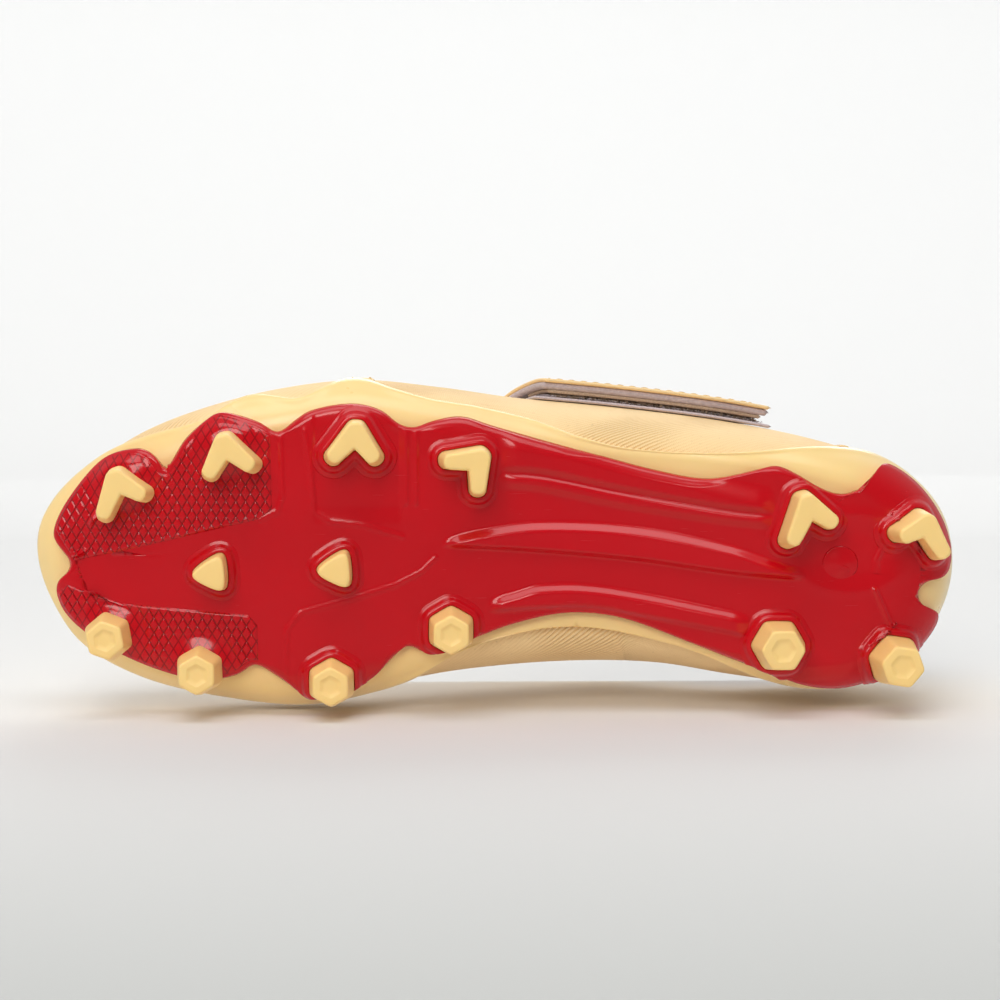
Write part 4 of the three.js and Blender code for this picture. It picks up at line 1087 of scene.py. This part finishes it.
# %% Pads
pad_lines = {
    "pad_outer": (
        [(228.6, -6.0), (213, -2.6), (198.4, 0.9), (181, 5.0), (177.6, 7.6)], (233.2, 2.0), (177.6, 27.2)),
    "pad_inner": (
        [(230.3, -11.8), (224.5, -13.5), (215.8, -16.2), (198.4, -17.6), (184, -18.8), (181.6, -21.6)],
        (233.8, -14.0), (181.4, -31.6))}


def between_on_edge(start, end, count):
    """Points of the scalloped edge from the one nearest to start to the one nearest to end, the shorter
    way round, evenly spaced."""
    first, final = (int(np.argmin(((edge_line - p) ** 2).sum(1))) for p in (start, end))
    way = (final - first + EDGE_COLUMNS // 2) % EDGE_COLUMNS - EDGE_COLUMNS // 2
    at = first + np.linspace(0, way, count)
    low = np.floor(at).astype(int)
    share = (at - low)[:, None]
    found = mix(edge_line[low % EDGE_COLUMNS], edge_line[(low + 1) % EDGE_COLUMNS], share)
    along = np.gradient(found, axis=0)
    inward = unit(np.stack([along[:, 1], -along[:, 0]], -1))
    return found, inward


def evenly(points, count):
    """Evenly spaced points along the straight stretches between the given ones."""
    points = np.asarray(points, float)
    gaps = np.concatenate([[0], np.cumsum(np.linalg.norm(np.diff(points, axis=0), axis=1))])
    s = np.linspace(0, gaps[-1], count)
    return np.stack([np.interp(s, gaps, points[:, k]) for k in range(2)], -1)


def near_studs(plan):
    """Distance from plan points to the nearest stud's middle."""
    places = np.array([stud["at"] for stud in studs.values()])
    return np.sqrt(((plan[..., None, :] - places) ** 2).sum(-1)).min(-1)


SCALE_PITCH, SCALE_SLANT, GROOVE, PAD_RISE = 2.1, math.radians(58), 0.3, 0.42


def scales(x, y):
    """Height of the scales: two families of waves slanting both ways; a groove runs where either is low."""
    lines = []
    for way in (1, -1):
        u = (x * math.sin(SCALE_SLANT) + way * y * math.cos(SCALE_SLANT)) / SCALE_PITCH
        lines.append(np.abs(np.sin(math.pi * u)))
    low = np.minimum(*lines)
    return -GROOVE * (1 - step(0.05, 0.42, low))


# %% The pads' own finish: the same two families of waves, with painted shade, a deeper red, in the grooves
pad_red = plate_red.copy()
pad_red.name = "plate_red_scales"
tree = pad_red.node_tree
shader = tree.nodes["Principled BSDF"]
plain = shader.inputs["Base Color"].links[0].from_socket
where = add(tree, "TexCoord", (-1300, 500)).outputs["Object"]
family = []
for way in (1, -1):
    turned_by = np.array([math.sin(SCALE_SLANT), way * math.cos(SCALE_SLANT), 0.0]) / SCALE_PITCH
    dot = add(tree, "VectorMath", (-1100, 500 - 150 * way), operation="DOT_PRODUCT")
    tree.links.new(where, dot.inputs[0])
    dot.inputs[1].default_value = tuple(turned_by * math.pi / MM)
    phase = math_node(tree, "ADD", dot.outputs["Value"], float(turned_by @ SHIFT * math.pi), (-950, 500))
    sine = math_node(tree, "SINE", phase, None, (-800, 500))
    family.append(math_node(tree, "ABSOLUTE", sine, None, (-650, 500)))
low = math_node(tree, "MINIMUM", family[0], family[1], (-500, 500))
# Painted shade: the grooves between the scales take a deeper red.
painted_groove_shade = add(tree, "MapRange", (-350, 500), interpolation_type="SMOOTHSTEP", From_Min=0.08, From_Max=0.4,
           To_Min=0.75, To_Max=0.0)
tree.links.new(low, painted_groove_shade.inputs[0])
tree.links.new(blend_colour(tree, painted_groove_shade.outputs[0], plain, (0.2, 0.0005, 0.003), (-100, 500)),
               shader.inputs["Base Color"])


# %% Pads: the height is worked out on a coarse grid of the sole, and the scales on a fine one
PAD_COLUMNS, PAD_ROWS, COARSE_COLUMNS, COARSE_ROWS = 300, 109, 13, 9
PAD_INSET, PAD_SINK, PAD_WALL, STUD_CONE = 1.3, 0.25, 0.5, 1.3
columns, rows, count = PAD_COLUMNS, PAD_ROWS, PAD_COLUMNS * PAD_ROWS
border = np.concatenate([
    np.arange(columns), np.arange(1, rows) * columns + columns - 1,
    (rows - 1) * columns + np.arange(columns - 2, -1, -1), np.arange(rows - 2, 0, -1) * columns])
below = count + np.arange(len(border))
hub = np.full(len(border), count + len(border))
pad_faces = np.concatenate([
    grid_faces(rows, columns),
    np.stack([border, below, np.roll(below, -1), np.roll(border, -1)], -1),
    np.stack([below, hub, hub, np.roll(below, -1)], -1)])
for name, (line, start, end) in pad_lines.items():
    outer_line, inward = between_on_edge(start, end, columns)
    centre = np.mean(line, axis=0)
    inward = inward * np.sign(((centre - outer_line) * inward).sum(-1).mean())
    outer_line = outer_line + inward * PAD_INSET
    for _ in range(6):
        outer_line[1:-1] = (outer_line[:-2] + 2 * outer_line[1:-1] + outer_line[2:]) / 4
    inner_line = evenly(line, columns)
    plan = mix(outer_line[None], inner_line[None], spread(rows, 0.2)[:, None, None])
    coarse = under_sole(plan[::COARSE_ROWS][:, ::COARSE_COLUMNS], PLATE_OUTER)[..., 2]
    row_at, column_at = np.arange(rows) / COARSE_ROWS, np.arange(columns) / COARSE_COLUMNS
    z = np.stack([np.interp(column_at, np.arange(coarse.shape[1]), line_z) for line_z in coarse])
    z = np.stack([np.interp(row_at, np.arange(coarse.shape[0]), z[:, k]) for k in range(columns)], 1)
    base = np.concatenate([plan, z[..., None]], -1)
    far, _ = away_from_border(base)
    near = near_studs(plan)
    scaled = step(8.0, 11.5, near)
    cone = STUD_CONE * (1 - step(3.5, 9.5, near)) * step(0.2, 3.2, far)
    rise = PAD_SINK + PAD_RISE * mix(0.35, 1, scaled) + cone
    height = -PAD_SINK + rise * step(-0.2, 0.9, far) + scales(
        plan[..., 0], plan[..., 1]) * scaled * step(0.6, 1.8, far)
    top, under = base.copy(), base.copy()
    top[..., 2] -= height
    under[..., 2] += PAD_WALL
    ring_points = under.reshape(-1, 3)[border]
    points = np.concatenate([top.reshape(-1, 3), ring_points, ring_points.mean(0)[None]])
    piece = make_mesh(name, points, pad_faces)
    finish_piece(piece, pad_red, "shoe", "plate_red", "outsole_plate")

# %% [markdown]
# ## The tray
# The tray is a soft pale moulding that cups the upper and holds the plate. Its rim rises and falls in
# waves: high round the forefoot and the heel, low at the waist, where the foot bends inwards. It could be
# a solid cut by a wavy prism, but its rim must stay rounded where it thins out against the textile, so it
# is one closed sheet from the middle of the sole up to a rim that is itself a curve of the turn.

# %% Tray
tray_rim = curve([
    (0, 0.24), (0.45, 0.235), (0.6, 0.2), (0.72, 0.15), (0.94, 0.055), (1.1, 0.025), (1.25, 0.025),
    (1.38, 0.05), (1.5, 0.09), (1.62, 0.105), (1.72, 0.105), (1.81, 0.13), (1.9, 0.18), (2.03, 0.105),
    (2.15, 0.165), (2.28, 0.11), (2.45, 0.135), (2.65, 0.19), (math.pi, 0.22), (3.6, 0.2), (3.95, 0.23),
    (4.2, 0.2), (4.38, 0.2), (4.5, 0.14), (4.6, 0.06), (4.72, 0.02), (4.9, 0.0), (5.08, 0.015),
    (5.22, 0.035), (5.35, 0.1), (5.5, 0.16), (5.8, 0.23)], tau)
tray_turns = np.linspace(0, tau, 520, endpoint=False)[None]
tray_share = np.concatenate([np.linspace(0, 0.35, 8), np.linspace(0.35, 0.94, 26)[1:],
                             1 - 0.06 * (1 - np.sin(np.linspace(0, math.pi / 2, 12)[1:]))])[:, None]
rim_level = tray_rim(tray_turns)
tray_level = np.where(tray_share < 0.35, -1 + tray_share / 0.35,
                      rim_level * (tray_share - 0.35) / 0.65)
RIM_BULGE = 0.35
bulge = RIM_BULGE * np.exp(-(((tray_share - 0.9) / 0.06) ** 2))
tray = sheet("tray_cup", tray_turns, tray_level, REACH + bulge, GAP, 0.8, closed=True, folded="b")
finish_piece(tray, tray_cream, "shoe", "tray_cream", "rand_tray")

# %% [markdown]
# ## The upper's panels
# The upper is cut from ribbed textile: a vamp over the toes, a quarter on each side and a heel panel. On
# the real boot the panels overlap at seams with two rows of stitching. Cutting one skin into regions by
# material would be quicker, but then no panel would have an edge. Here each panel is its own sheet, and a
# narrow seam tape with stitches lies over each join. The panels' top edge is found by halving: the level
# at which the side reaches the collar's height, or comes within half the throat's width of the ridge.

# %% Places on the upper
VAMP_SEAM, HEEL_SEAM, THROAT_START, THROAT_HALF = 156.0, 26.0, 92.0, 14.0
throat_end = SPINE_START + SPINE_SHARE * VAMP_SEAM
collar_drop = curve([(0, 0), (14, -1), (34, -11.5), (52, -16), (66, -11), (80, 3), (92, 26)])


def halve(low, high, test):
    """Last value between low and high for which test holds, for whole arrays."""
    for _ in range(26):
        middle = (low + high) / 2
        keep = test(middle)
        low, high = np.where(keep, middle, low), np.where(keep, high, middle)
    return low


def level_at_height(turn, z):
    """Level at which the last's side reaches a height."""
    start = np.full(np.shape(turn), 0.02)
    return halve(start, start * 0 + 0.995, lambda level: last(turn, level)[..., 2] < z)


def level_from_ridge(turn, distance):
    """Level at which the last's side comes within a distance of the ridge, seen from above."""
    ridge = last(turn, 1.0)[..., :2]
    start = np.full(np.shape(turn), WAIST)
    return halve(start, start * 0 + 1.0, lambda level: np.linalg.norm(
        last(turn, level)[..., :2] - ridge, axis=-1) > distance)


def throat_width(spine_x):
    """Half the throat's width: a blunt oval that closes at its front end."""
    s = np.maximum((spine_x - THROAT_START) / (throat_end - THROAT_START), -0.4)
    return THROAT_HALF * np.sqrt(np.maximum(1 - np.sign(s) * np.abs(s) ** 3.2, 0.02))


def top_level(turn, drop=0.0):
    """Level of the upper's top edge, lowered by a drop in millimetres."""
    x = outline_x(turn)
    top = level_at_height(turn, COLLAR + collar_drop(x) - drop)
    beside = level_from_ridge(turn, throat_width(SPINE_START + SPINE_SHARE * x) + drop)
    return np.where(x < 60, top, np.minimum(top, beside))


def panel(name, start, end, low, top, outer, inner, columns=150, rows=96, **options):
    """Sheet between two turns, from a low level to a top level given for each column."""
    turn = mix(start, end, spread(columns, 0.35))
    upper_edge = top(turn)
    share = spread(rows, 0.35)[:, None]
    return sheet(name, turn[None], mix(low, upper_edge[None], share), outer, inner, **options)


heel_turn, vamp_turn = float(turn_at(HEEL_SEAM)), float(turn_at(VAMP_SEAM))
SEAM = 2.6 * GAP / LENGTH
LOW, CLOTH = -0.06, 2.0
front = panel("vamp_panel", vamp_turn + SEAM, tau - vamp_turn - SEAM, LOW, np.ones_like,
              0.0, -CLOTH, 240, 130, radius=0.6, folded="t")
finish_piece(front, textile, "shoe", "textile", "vamp")
for side, name in ((1, "quarter_outer"), (-1, "quarter_inner")):
    ends = (heel_turn + SEAM, vamp_turn - SEAM)
    ends = ends if side > 0 else (tau - ends[1], tau - ends[0])
    quarter = panel(name + "_panel", *ends, LOW, top_level, 0.0, -CLOTH, 190, 96, radius=0.7)
    finish_piece(quarter, textile, "shoe", "textile", name)
back_panel = panel("heel_back_panel", -heel_turn + SEAM, heel_turn - SEAM, LOW, top_level, 0.0, -CLOTH,
                   130, 90, radius=0.7)
finish_piece(back_panel, textile, "shoe", "textile", "heel_panel")

# %% [markdown]
# ## Stitches
# A row of lockstitches is a line of short, plump threads with a small gap between them, each sinking into
# the cloth at both ends. One stitch is a spindle of a few faces. It could be instanced along a curve with
# an array modifier, but a whole row computed at once can follow any path on the last and stays one mesh.

# %% Stitch rows
STITCH, STITCH_GAP, THREAD = 2.3, 0.9, 0.3


def stitch_row(name, turn, level, offset):
    """Row of stitches along a path on the last: spindles whose radius follows a circle's arc from end to
    end, laid along the path's direction and half sunk in the surface."""
    turn, level = np.broadcast_arrays(turn, level)
    normal = last_normal(turn, level)
    path = last(turn, level) + normal * np.broadcast_to(offset, turn.shape)[:, None]
    gaps = np.concatenate([[0], np.cumsum(np.linalg.norm(np.diff(path, axis=0), axis=1))])
    count = max(int(gaps[-1] / (STITCH + STITCH_GAP)), 1)
    at = (np.arange(count) + 0.5) * gaps[-1] / count

    def along(values, s):
        return np.stack([np.interp(s, gaps, values[:, k]) for k in range(3)], -1)

    centre, out = along(path, at), unit(along(normal, at))
    ahead = unit(along(path, at + 0.4) - along(path, at - 0.4))
    side = unit(np.cross(out, ahead))
    a = np.sin(np.linspace(-1, 1, 6) * math.pi / 2)
    round_it = np.linspace(0, tau, 6, endpoint=False)
    girth = THREAD * np.sqrt(np.maximum(1 - a**2, 0.02))
    aside = girth[:, None] * np.cos(round_it)
    raised = girth[:, None] * np.sin(round_it) - 0.12 * a[:, None] ** 2
    shift = (ahead[:, None, None] * (a * STITCH / 2)[None, :, None, None]
             + side[:, None, None] * aside[None, ..., None] + out[:, None, None] * raised[None, ..., None])
    points = centre[:, None, None] + shift
    # Six rings of six corners, and two faces that close each end.
    cap = np.array([[0, 1, 2, 3], [0, 3, 4, 5], [33, 32, 31, 30], [35, 34, 33, 30]])
    one = np.concatenate([grid_faces(6, 6, closed=True), cap])
    quads = (one[None] + 36 * np.arange(count)[:, None, None]).reshape(-1, 4)
    return make_mesh(name, points, quads)


def stitched(name, turn, level, offset, body="shoe", slot="textile"):
    """A row of stitches in its thread's colour, on a body."""
    return finish_piece(stitch_row(name, turn, level, offset), thread_cream, body, slot)


# %% Seam tapes over the joins
def tape(name, turn, level, outer, inner, material, slot, nodes=(), **options):
    """A sheet that is sewn or stuck on the boot itself."""
    return finish_piece(sheet(name, turn, level, outer, inner, **options), material, "shoe", slot, *nodes)


seams = {"front_seam_outer": (vamp_turn, 0.030), "front_seam_inner": (tau - vamp_turn, 0.030),
         "heel_seam_outer": (heel_turn, 0.026), "heel_seam_inner": (tau - heel_turn, 0.026)}
for name, (turn, half) in seams.items():
    across = np.linspace(-1, 1, 13)
    up = np.linspace(0, 1, 90)
    top = float(top_level(np.array([turn]), 0.4)[0])
    start = float(tray_rim(turn)) - 0.02
    lean = 0.05 * (1 if turn < math.pi else -1) * (1 if "front" in name else -1)
    centre = turn + lean * up * (1 - 0.4 * up)
    tape(name, centre[:, None] + half * across[None], mix(start, top, up)[:, None], 0.55, 0.05, textile,
         "textile", radius=0.5)
    for side in (-1, 1):
        stitched(f"{name}_stitches_{'low' if side < 0 else 'high'}", centre + side * half * 0.66,
                 mix(start + 0.03, top - 0.01, up), 0.55)

# %% Film round the throat, with its stitches
for side, name in ((1, "outer"), (-1, "inner")):
    x = np.linspace(66, 155.2, 120)
    turns = turn_at(x, side)
    edge = top_level(turns, 0.25)
    low = np.minimum(top_level(turns, 12.0), edge - 0.02)
    rows = np.linspace(0, 1, 16)[:, None]
    level = mix(edge[None], low[None], rows)
    taper = step(66, 74, x)[None]
    tape(f"throat_film_{name}", turns[None], mix(edge[None], level, 0.25 + 0.75 * taper), 0.6, 0.05,
         tray_cream, "tray_cream", radius=0.5)
    inset = top_level(turns, 1.9)
    stitched(f"throat_stitches_{name}", turns[4:-2], inset[4:-2], 0.6, "shoe", "tray_cream")
    stitched(f"throat_stitches_low_{name}", turns[12:-4], top_level(turns, 10.4)[12:-4], 0.6, "shoe",
             "tray_cream")

# %% Heel stay: a glossy strip up the back seam
across, up = np.linspace(-0.1, 0.1, 25), np.linspace(0, 1, 80)
stay_top = float(top_level(np.array([0.0]), 1.0)[0])
narrow = 1 - 0.35 * up[:, None] ** 2
tape("heel_stay_strip", across[None] * narrow, mix(WAIST - 0.01, stay_top, up)[:, None],
     1.4 + 0.5 * np.exp(-((across[None] / 0.03) ** 2)) * narrow, 0.05, tray_cream, "tray_cream",
     nodes=("heel_stay",), radius=0.9)
for side in (-1, 1):
    stitched(f"heel_stay_stitches_{'in' if side < 0 else 'out'}", side * 0.082 * narrow[:, 0],
             mix(WAIST + 0.01, stay_top - 0.01, up), 1.3, "shoe", "tray_cream")

# %% [markdown]
# ## Inside the boot
# Linings face the foot, the sockliner lies on the board, and the collar is a roll of foam under brushed
# cloth. The roll could be simulated as pressed cloth, but its outline must follow the collar's dip below
# the ankle, so it is a thick sheet with a wide rounded border, fuller in its middle, that thins out where
# it meets the throat.

# %% Linings
BAND, BAND_END = 14.0, 75.0
band_turn = float(turn_at(BAND_END))


def lining_top(turn):
    """Level of the linings' top edge: under the collar's roll, and up to the throat's edge in front."""
    x = outline_x(turn)
    below = top_level(turn, BAND) - 0.02
    return np.where(x < BAND_END, below, mix(below, top_level(turn), step(BAND_END + 10, BAND_END + 32, x)))


for side, name in ((1, "outer"), (-1, "inner")):
    ends = (SEAM, vamp_turn - SEAM)
    ends = ends if side > 0 else (tau - ends[1], tau - ends[0])
    lining = panel("lining_" + name, *ends, 0.02, lining_top, -3.6, -4.4, 150, 60)
    finish_piece(lining, lining_grey, "shoe", "lining_grey", "quarter_lining_" + name)
lining = panel("lining_front", vamp_turn + SEAM, tau - vamp_turn - SEAM, 0.02, np.ones_like, -3.6, -4.4,
               150, 70, folded="t")
finish_piece(lining, lining_grey, "shoe", "lining_grey", "vamp_lining")

# %% Padded collar
turn = mix(-band_turn, band_turn, spread(220, 0.3))
upper_edge, lower_edge = top_level(turn, -1.3), top_level(turn, BAND)
share = spread(44, 0.8)[:, None]
full = (0.3 + 0.7 * step(0, 16, BAND_END - outline_x(turn)))[None]
crown = 1 + 0.12 * np.sin(math.pi * share)
puckers = 0.16 * np.sin(turn * 95)[None] * np.exp(-(((share - 0.2) / 0.16) ** 2))
ROLL_OUTER, ROLL_THICK = -2.3, 6.0
collar_roll = sheet("collar_roll", turn[None], mix(lower_edge[None], upper_edge[None], share),
                    ROLL_OUTER, ROLL_OUTER - ROLL_THICK * full * crown + puckers, radius=3.0)
finish_piece(collar_roll, lining_grey, "shoe", "lining_grey", "collar_padding", "collar_lining")

# %% Sockliner
sock_level = mix(-1.0, -0.18, spread(40, 0.4))[:, None]
sock = sheet("sock_insole", np.linspace(0, tau, 300, endpoint=False)[None], sock_level, -2.4, -5.6,
             radius=1.4, closed=True, folded="b")
finish_piece(sock, foam_grey, "shoe", "foam_grey", "sockliner")

# %% [markdown]
# ## The tongue
# The tongue is a padded flap that fills the throat. It is sewn down at its front end and lifts with the
# strap, so its front bends while the rest turns as one. Quilting lines divide its padding into rolls.
# A cloth simulation could swell it, but the rolls are regular, so each is a sine arch between two lines.

# %% Places across the ridge
def across_ridge(x, w):
    """Turn and level at a distance x along the outline and w, which is 0 on the ridge and grows to 1 at
    the lower edge, positive on the outer side."""
    x, w = np.broadcast_arrays(x, w)
    return turn_at(x, np.where(w >= 0, 1, -1)), 1 - np.abs(w)


TONGUE_BACK, TONGUE_FRONT, ROLLS = 56.0, VAMP_SEAM - 9, 6
along = spread(150, 0.25)[:, None]
side_share = np.linspace(-1, 1, 81)[None]
x_along = mix(TONGUE_BACK, TONGUE_FRONT, along)
throat_there = throat_width(SPINE_START + SPINE_SHARE * x_along + 6)
half_width = 1 - level_from_ridge(turn_at(x_along), throat_there - 1.2)
blunt = np.sqrt(np.maximum(1 - (1 - np.minimum(along / 0.2, 1)) ** 2.2, 0.06))
back_end = 1 - np.minimum(along / 0.3, 1)
turn, level = across_ridge(x_along + 11 * np.abs(side_share) * back_end, side_share * half_width * blunt)
rolls = np.abs(np.sin(math.pi * ROLLS * np.clip((along - 0.08) / 0.84, 0, 1))) ** 0.45
soft_side = 1 - np.abs(side_share) ** 4
tongue_pad = sheet("tongue_pad", turn, level, -0.75 + 0.85 * rolls * soft_side, -3.4, radius=1.5)
finish_piece(tongue_pad, textile, None, "textile", "tongue")
tongue_back = sheet("tongue_back", turn, level, -3.5, -4.4, radius=0.45)
finish_piece(tongue_back, lining_grey, None, "lining_grey", "tongue_lining")
for piece in (tongue_pad, tongue_back):
    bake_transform(piece)

# %% [markdown]
# ## The strap
# The strap is sewn down on the inner side, crosses the instep and closes on the outer side, where the
# hooks under its end grip a strip of loops. It is a thin pale skin over a soft grey lining. It could be
# three stiff plates on two hinges, but cloth bends. So it is made in two lengths that meet under a
# moulded band. Points where the first would bend, as it leaves the inner side, and where the second
# would bend, as it peels off, are worked out, but no bend is made here.

# %% Strap sheets
HINGE, FOLD, STRAP_END, ANCHOR_END, JOIN, BOW = -0.46, 0.57, 0.735, -0.62, 0.2, 0.136
strap_back = curve([(-0.75, 84), (-0.46, 80), (-0.2, 77.5), (0, 77), (0.2, 75), (0.4, 69), (0.57, 59),
                    (0.74, 47)])
strap_front = curve([(-0.75, 126), (-0.46, 131), (-0.2, 133.5), (0, 134), (0.2, 131), (0.4, 120),
                     (0.57, 112.5), (0.74, 108)])
LINING, SKIN = 1.5, 0.9
LINING_THICK, SKIN_THICK = LINING + 0.3, SKIN + 0.1


def strap_lift(w):
    """Distance of the strap's underside from the last: close on the ridge, out over the tapes beyond."""
    return mix(0.7, 3.2, step(0.25, 0.53, w))


def skin_lift(w):
    """Distance of the pale skin's underside from the last, on top of the lining."""
    return strap_lift(w) + LINING + 0.3


def stitch_lift(w):
    """Distance of the strap's top, where the stitches and the band lie."""
    return strap_lift(w) + LINING + SKIN + 0.4


def fold_line(shift):
    """The bowed line where the strap's end starts to peel, moved along the strap by a shift."""
    return lambda share: FOLD + shift + BOW * share * (1 - share)


def strap_grid(start, end, rows, columns, inset=0.0, near=0.2):
    """Turn, level and w over part of the strap: rows across its width and columns along it."""
    share, way = spread(rows, 0.4)[:, None], spread(columns, near)[None]
    first, final = (edge(share) if callable(edge) else edge + 0 * share for edge in (start, end))
    w = mix(first, final, way)
    turn, level = across_ridge(mix(strap_back(w) + inset, strap_front(w) - inset, share), w)
    return turn, level, w


def strap_sheet(name, start, end, low, thick, material, slot, nodes=(), columns=100, inset=0.0, **options):
    """Sheet over part of the strap. Its underside's distance from the last is a number, or is worked out
    from w."""
    turn, level, w = strap_grid(start, end, 70, columns, inset)
    bottom = low(w) if callable(low) else low
    piece = sheet(name, turn, level, bottom + thick, bottom, **options)
    return finish_piece(piece, material, None, slot, *nodes)


def place_on(w, share=0.5, lift=2.0):
    """Point of the strap in the frame, in metres."""
    x = mix(float(strap_back(w)), float(strap_front(w)), share)
    turn, level = across_ridge(np.array([x]), np.array([w]))
    return (skin(turn, level, np.array([lift]))[0] - SHIFT) * MM


bend_in = (place_on(HINGE - 0.035, lift=1.5), place_on(HINGE + 0.035, lift=1.5))
bend_out = (place_on(FOLD + BOW / 4 + 0.005, lift=4.5), place_on(FOLD + BOW / 4 + 0.075, lift=4.5))
first_half = [
    strap_sheet("strap_lining_first", ANCHOR_END, JOIN, strap_lift, LINING_THICK, lining_grey,
                "lining_grey", ("strap_lining",), open_edges="r"),
    strap_sheet("strap_skin_first", ANCHOR_END, JOIN, skin_lift, SKIN_THICK, textile, "textile",
                ("strap_skin", "strap_anchor"), open_edges="r")]
second_half = [
    strap_sheet("strap_lining_second", JOIN, STRAP_END, strap_lift, LINING_THICK, lining_grey,
                "lining_grey", ("tab_lining",), open_edges="l"),
    strap_sheet("strap_skin_second", JOIN, STRAP_END + 0.004, skin_lift, SKIN_THICK, textile, "textile",
                ("tab_skin",), open_edges="l")]


def strap_stitches(name, start, end, inset, edge=0):
    """Stitches along the strap's back edge (0) or front edge (1), or across it where start and end are
    the same."""
    s = np.linspace(0, 1, 120)
    if start == end:
        w = np.full(120, start)
        x = mix(strap_back(w) + inset, strap_front(w) - inset, s)
    else:
        w = mix(start, end, s)
        x = strap_back(w) + inset if edge == 0 else strap_front(w) - inset
    turn, level = across_ridge(x, w)
    return finish_piece(stitch_row(name, turn, level, stitch_lift(w)), thread_cream, None, "textile")


EDGE_INSET, ACROSS_INSET = 2.6, 3.4
for half, pieces, start, end in (("first", first_half, ANCHOR_END + 0.02, JOIN - 0.02),
                                 ("second", second_half, JOIN + 0.02, STRAP_END - 0.02)):
    for edge in (0, 1):
        pieces.append(strap_stitches(f"strap_stitches_{half}_{edge}", start, end, EDGE_INSET, edge))
for name, pieces, w in (("anchor_low", first_half, ANCHOR_END + 0.03),
                        ("anchor_high", first_half, HINGE - 0.03), ("end", second_half, STRAP_END - 0.02)):
    pieces.append(strap_stitches("strap_stitches_" + name, w, w, ACROSS_INSET))
for piece in first_half:
    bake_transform(piece)
for piece in second_half:
    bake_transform(piece)

# %% Band over the strap's join
BAND_HALF, BAND_THICK = 0.055, 0.8
band = strap_sheet("strap_band", JOIN - BAND_HALF, JOIN + BAND_HALF, stitch_lift, BAND_THICK, tray_cream,
                   "tray_cream", columns=40, inset=-0.4, radius=0.7)
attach(band, "strap")

# %% [markdown]
# ## Hooks and loops
# Under the strap's end are hundreds of tiny hooks, and on the quarter a pile of fine loops. They could be
# hair particles, but an export keeps only meshes. Each hook or loop is a bent thread of a few faces: an
# arch that leaves the tape, leans over and comes down. A field of them is computed at once with a fixed
# seed, so that it is the same on every run.

# %% Pile of bent threads
def pile(name, turn, level, offset, count, height, reach, girth, seed):
    """Threads standing at random places and ways on a grid of the last: arches whose way forward grows
    evenly while their height follows a sine, with a three-sided section. A height below 0 hangs them
    from the grid."""
    rng = np.random.default_rng(seed)
    rows, columns = turn.shape
    i, j = rng.uniform(0.02, 0.98, (2, count)) * (np.array([[rows - 1], [columns - 1]]) - 1)
    a, b = i.astype(int), j.astype(int)
    normals = last_normal(turn, level)
    base = last(turn, level) + normals * offset
    foot = mix(mix(base[a, b], base[a + 1, b], (i - a)[:, None]), base[a, b + 1], ((j - b) / 2)[:, None])
    out = normals[a, b] * np.sign(height)
    ahead = unit(base[a, b + 1] - base[a, b])
    cross = np.cross(out, ahead)
    angle = rng.uniform(0, tau, count)[:, None]
    ahead = ahead * np.cos(angle) + cross * np.sin(angle)
    side = np.cross(out, ahead)
    tall = abs(height) * rng.uniform(0.6, 1.15, count)[:, None, None, None]
    s = np.linspace(0, 1, 6)[None, :, None, None]
    round_it = np.linspace(0, tau, 3, endpoint=False)[None, None, :, None]
    way = ahead[:, None, None] * reach * s + out[:, None, None] * tall * np.sin(math.pi * 0.85 * s)
    thick = girth * (1 - 0.5 * s)
    shell = side[:, None, None] * np.cos(round_it) * thick + out[:, None, None] * np.sin(round_it) * thick
    points = foot[:, None, None] + way + shell
    one = np.concatenate([grid_faces(6, 3, closed=True), [[0, 1, 2, 2], [17, 16, 15, 15]]])
    quads = (one[None] + 18 * np.arange(count)[:, None, None]).reshape(-1, 4)
    return make_mesh(name, points, quads)


HOOK_START, HOOK_END, HOOK_LIFT = fold_line(0.0), STRAP_END - 0.004, 2.2
hook_base = strap_sheet("hook_base", HOOK_START, HOOK_END, HOOK_LIFT, 1.0, hook_brown, "hook_brown",
                        ("hook_tape",), inset=1.4, columns=60, radius=0.3)
turn, level, _ = strap_grid(HOOK_START, HOOK_END, 60, 60, 1.6)
hooks = pile("hook_pile", turn, level, HOOK_LIFT + 0.05, count=4600, height=-0.95, reach=0.6, girth=0.16,
             seed=7)
finish_piece(hooks, hook_brown, None, "hook_brown")
for piece in (hook_base, hooks):
    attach(piece, "strap_tab")
LOOP_LIFT, LOOP_THICK = 0.25, 0.9
loop_base = strap_sheet("loop_base", fold_line(-0.09), STRAP_END + 0.004, LOOP_LIFT, LOOP_THICK, loop_grey,
                        "loop_grey", ("loop_tape",), inset=-1.0, columns=70, radius=0.3)
turn, level, _ = strap_grid(fold_line(-0.085), STRAP_END, 60, 60, -0.4)
loops = pile("loop_pile", turn, level, LOOP_LIFT + LOOP_THICK - 0.05, count=3600, height=0.6, reach=0.9,
             girth=0.13, seed=11)
finish_piece(loops, loop_grey, None, "loop_grey")
for piece in (loop_base, loops):
    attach(piece, "shoe")

# %% [markdown]
# ## Hidden layers
# The board, the heel counter and the toe puff are inside the boot. Their working shapes are right as they
# are, so they only take a finish.

# %% Finishes of the hidden layers
for name, material in (("lasting_board", board_fibre), ("heel_counter", stiffener),
                       ("toe_puff", stiffener)):
    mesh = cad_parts[name].data
    mesh.materials.clear()
    mesh.materials.append(material)

# %% The visual model's size, to set beside the working model's printed at the start
low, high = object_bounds()
print("visual size", [round(1000 * side, 1) for side in high - low], "mm")
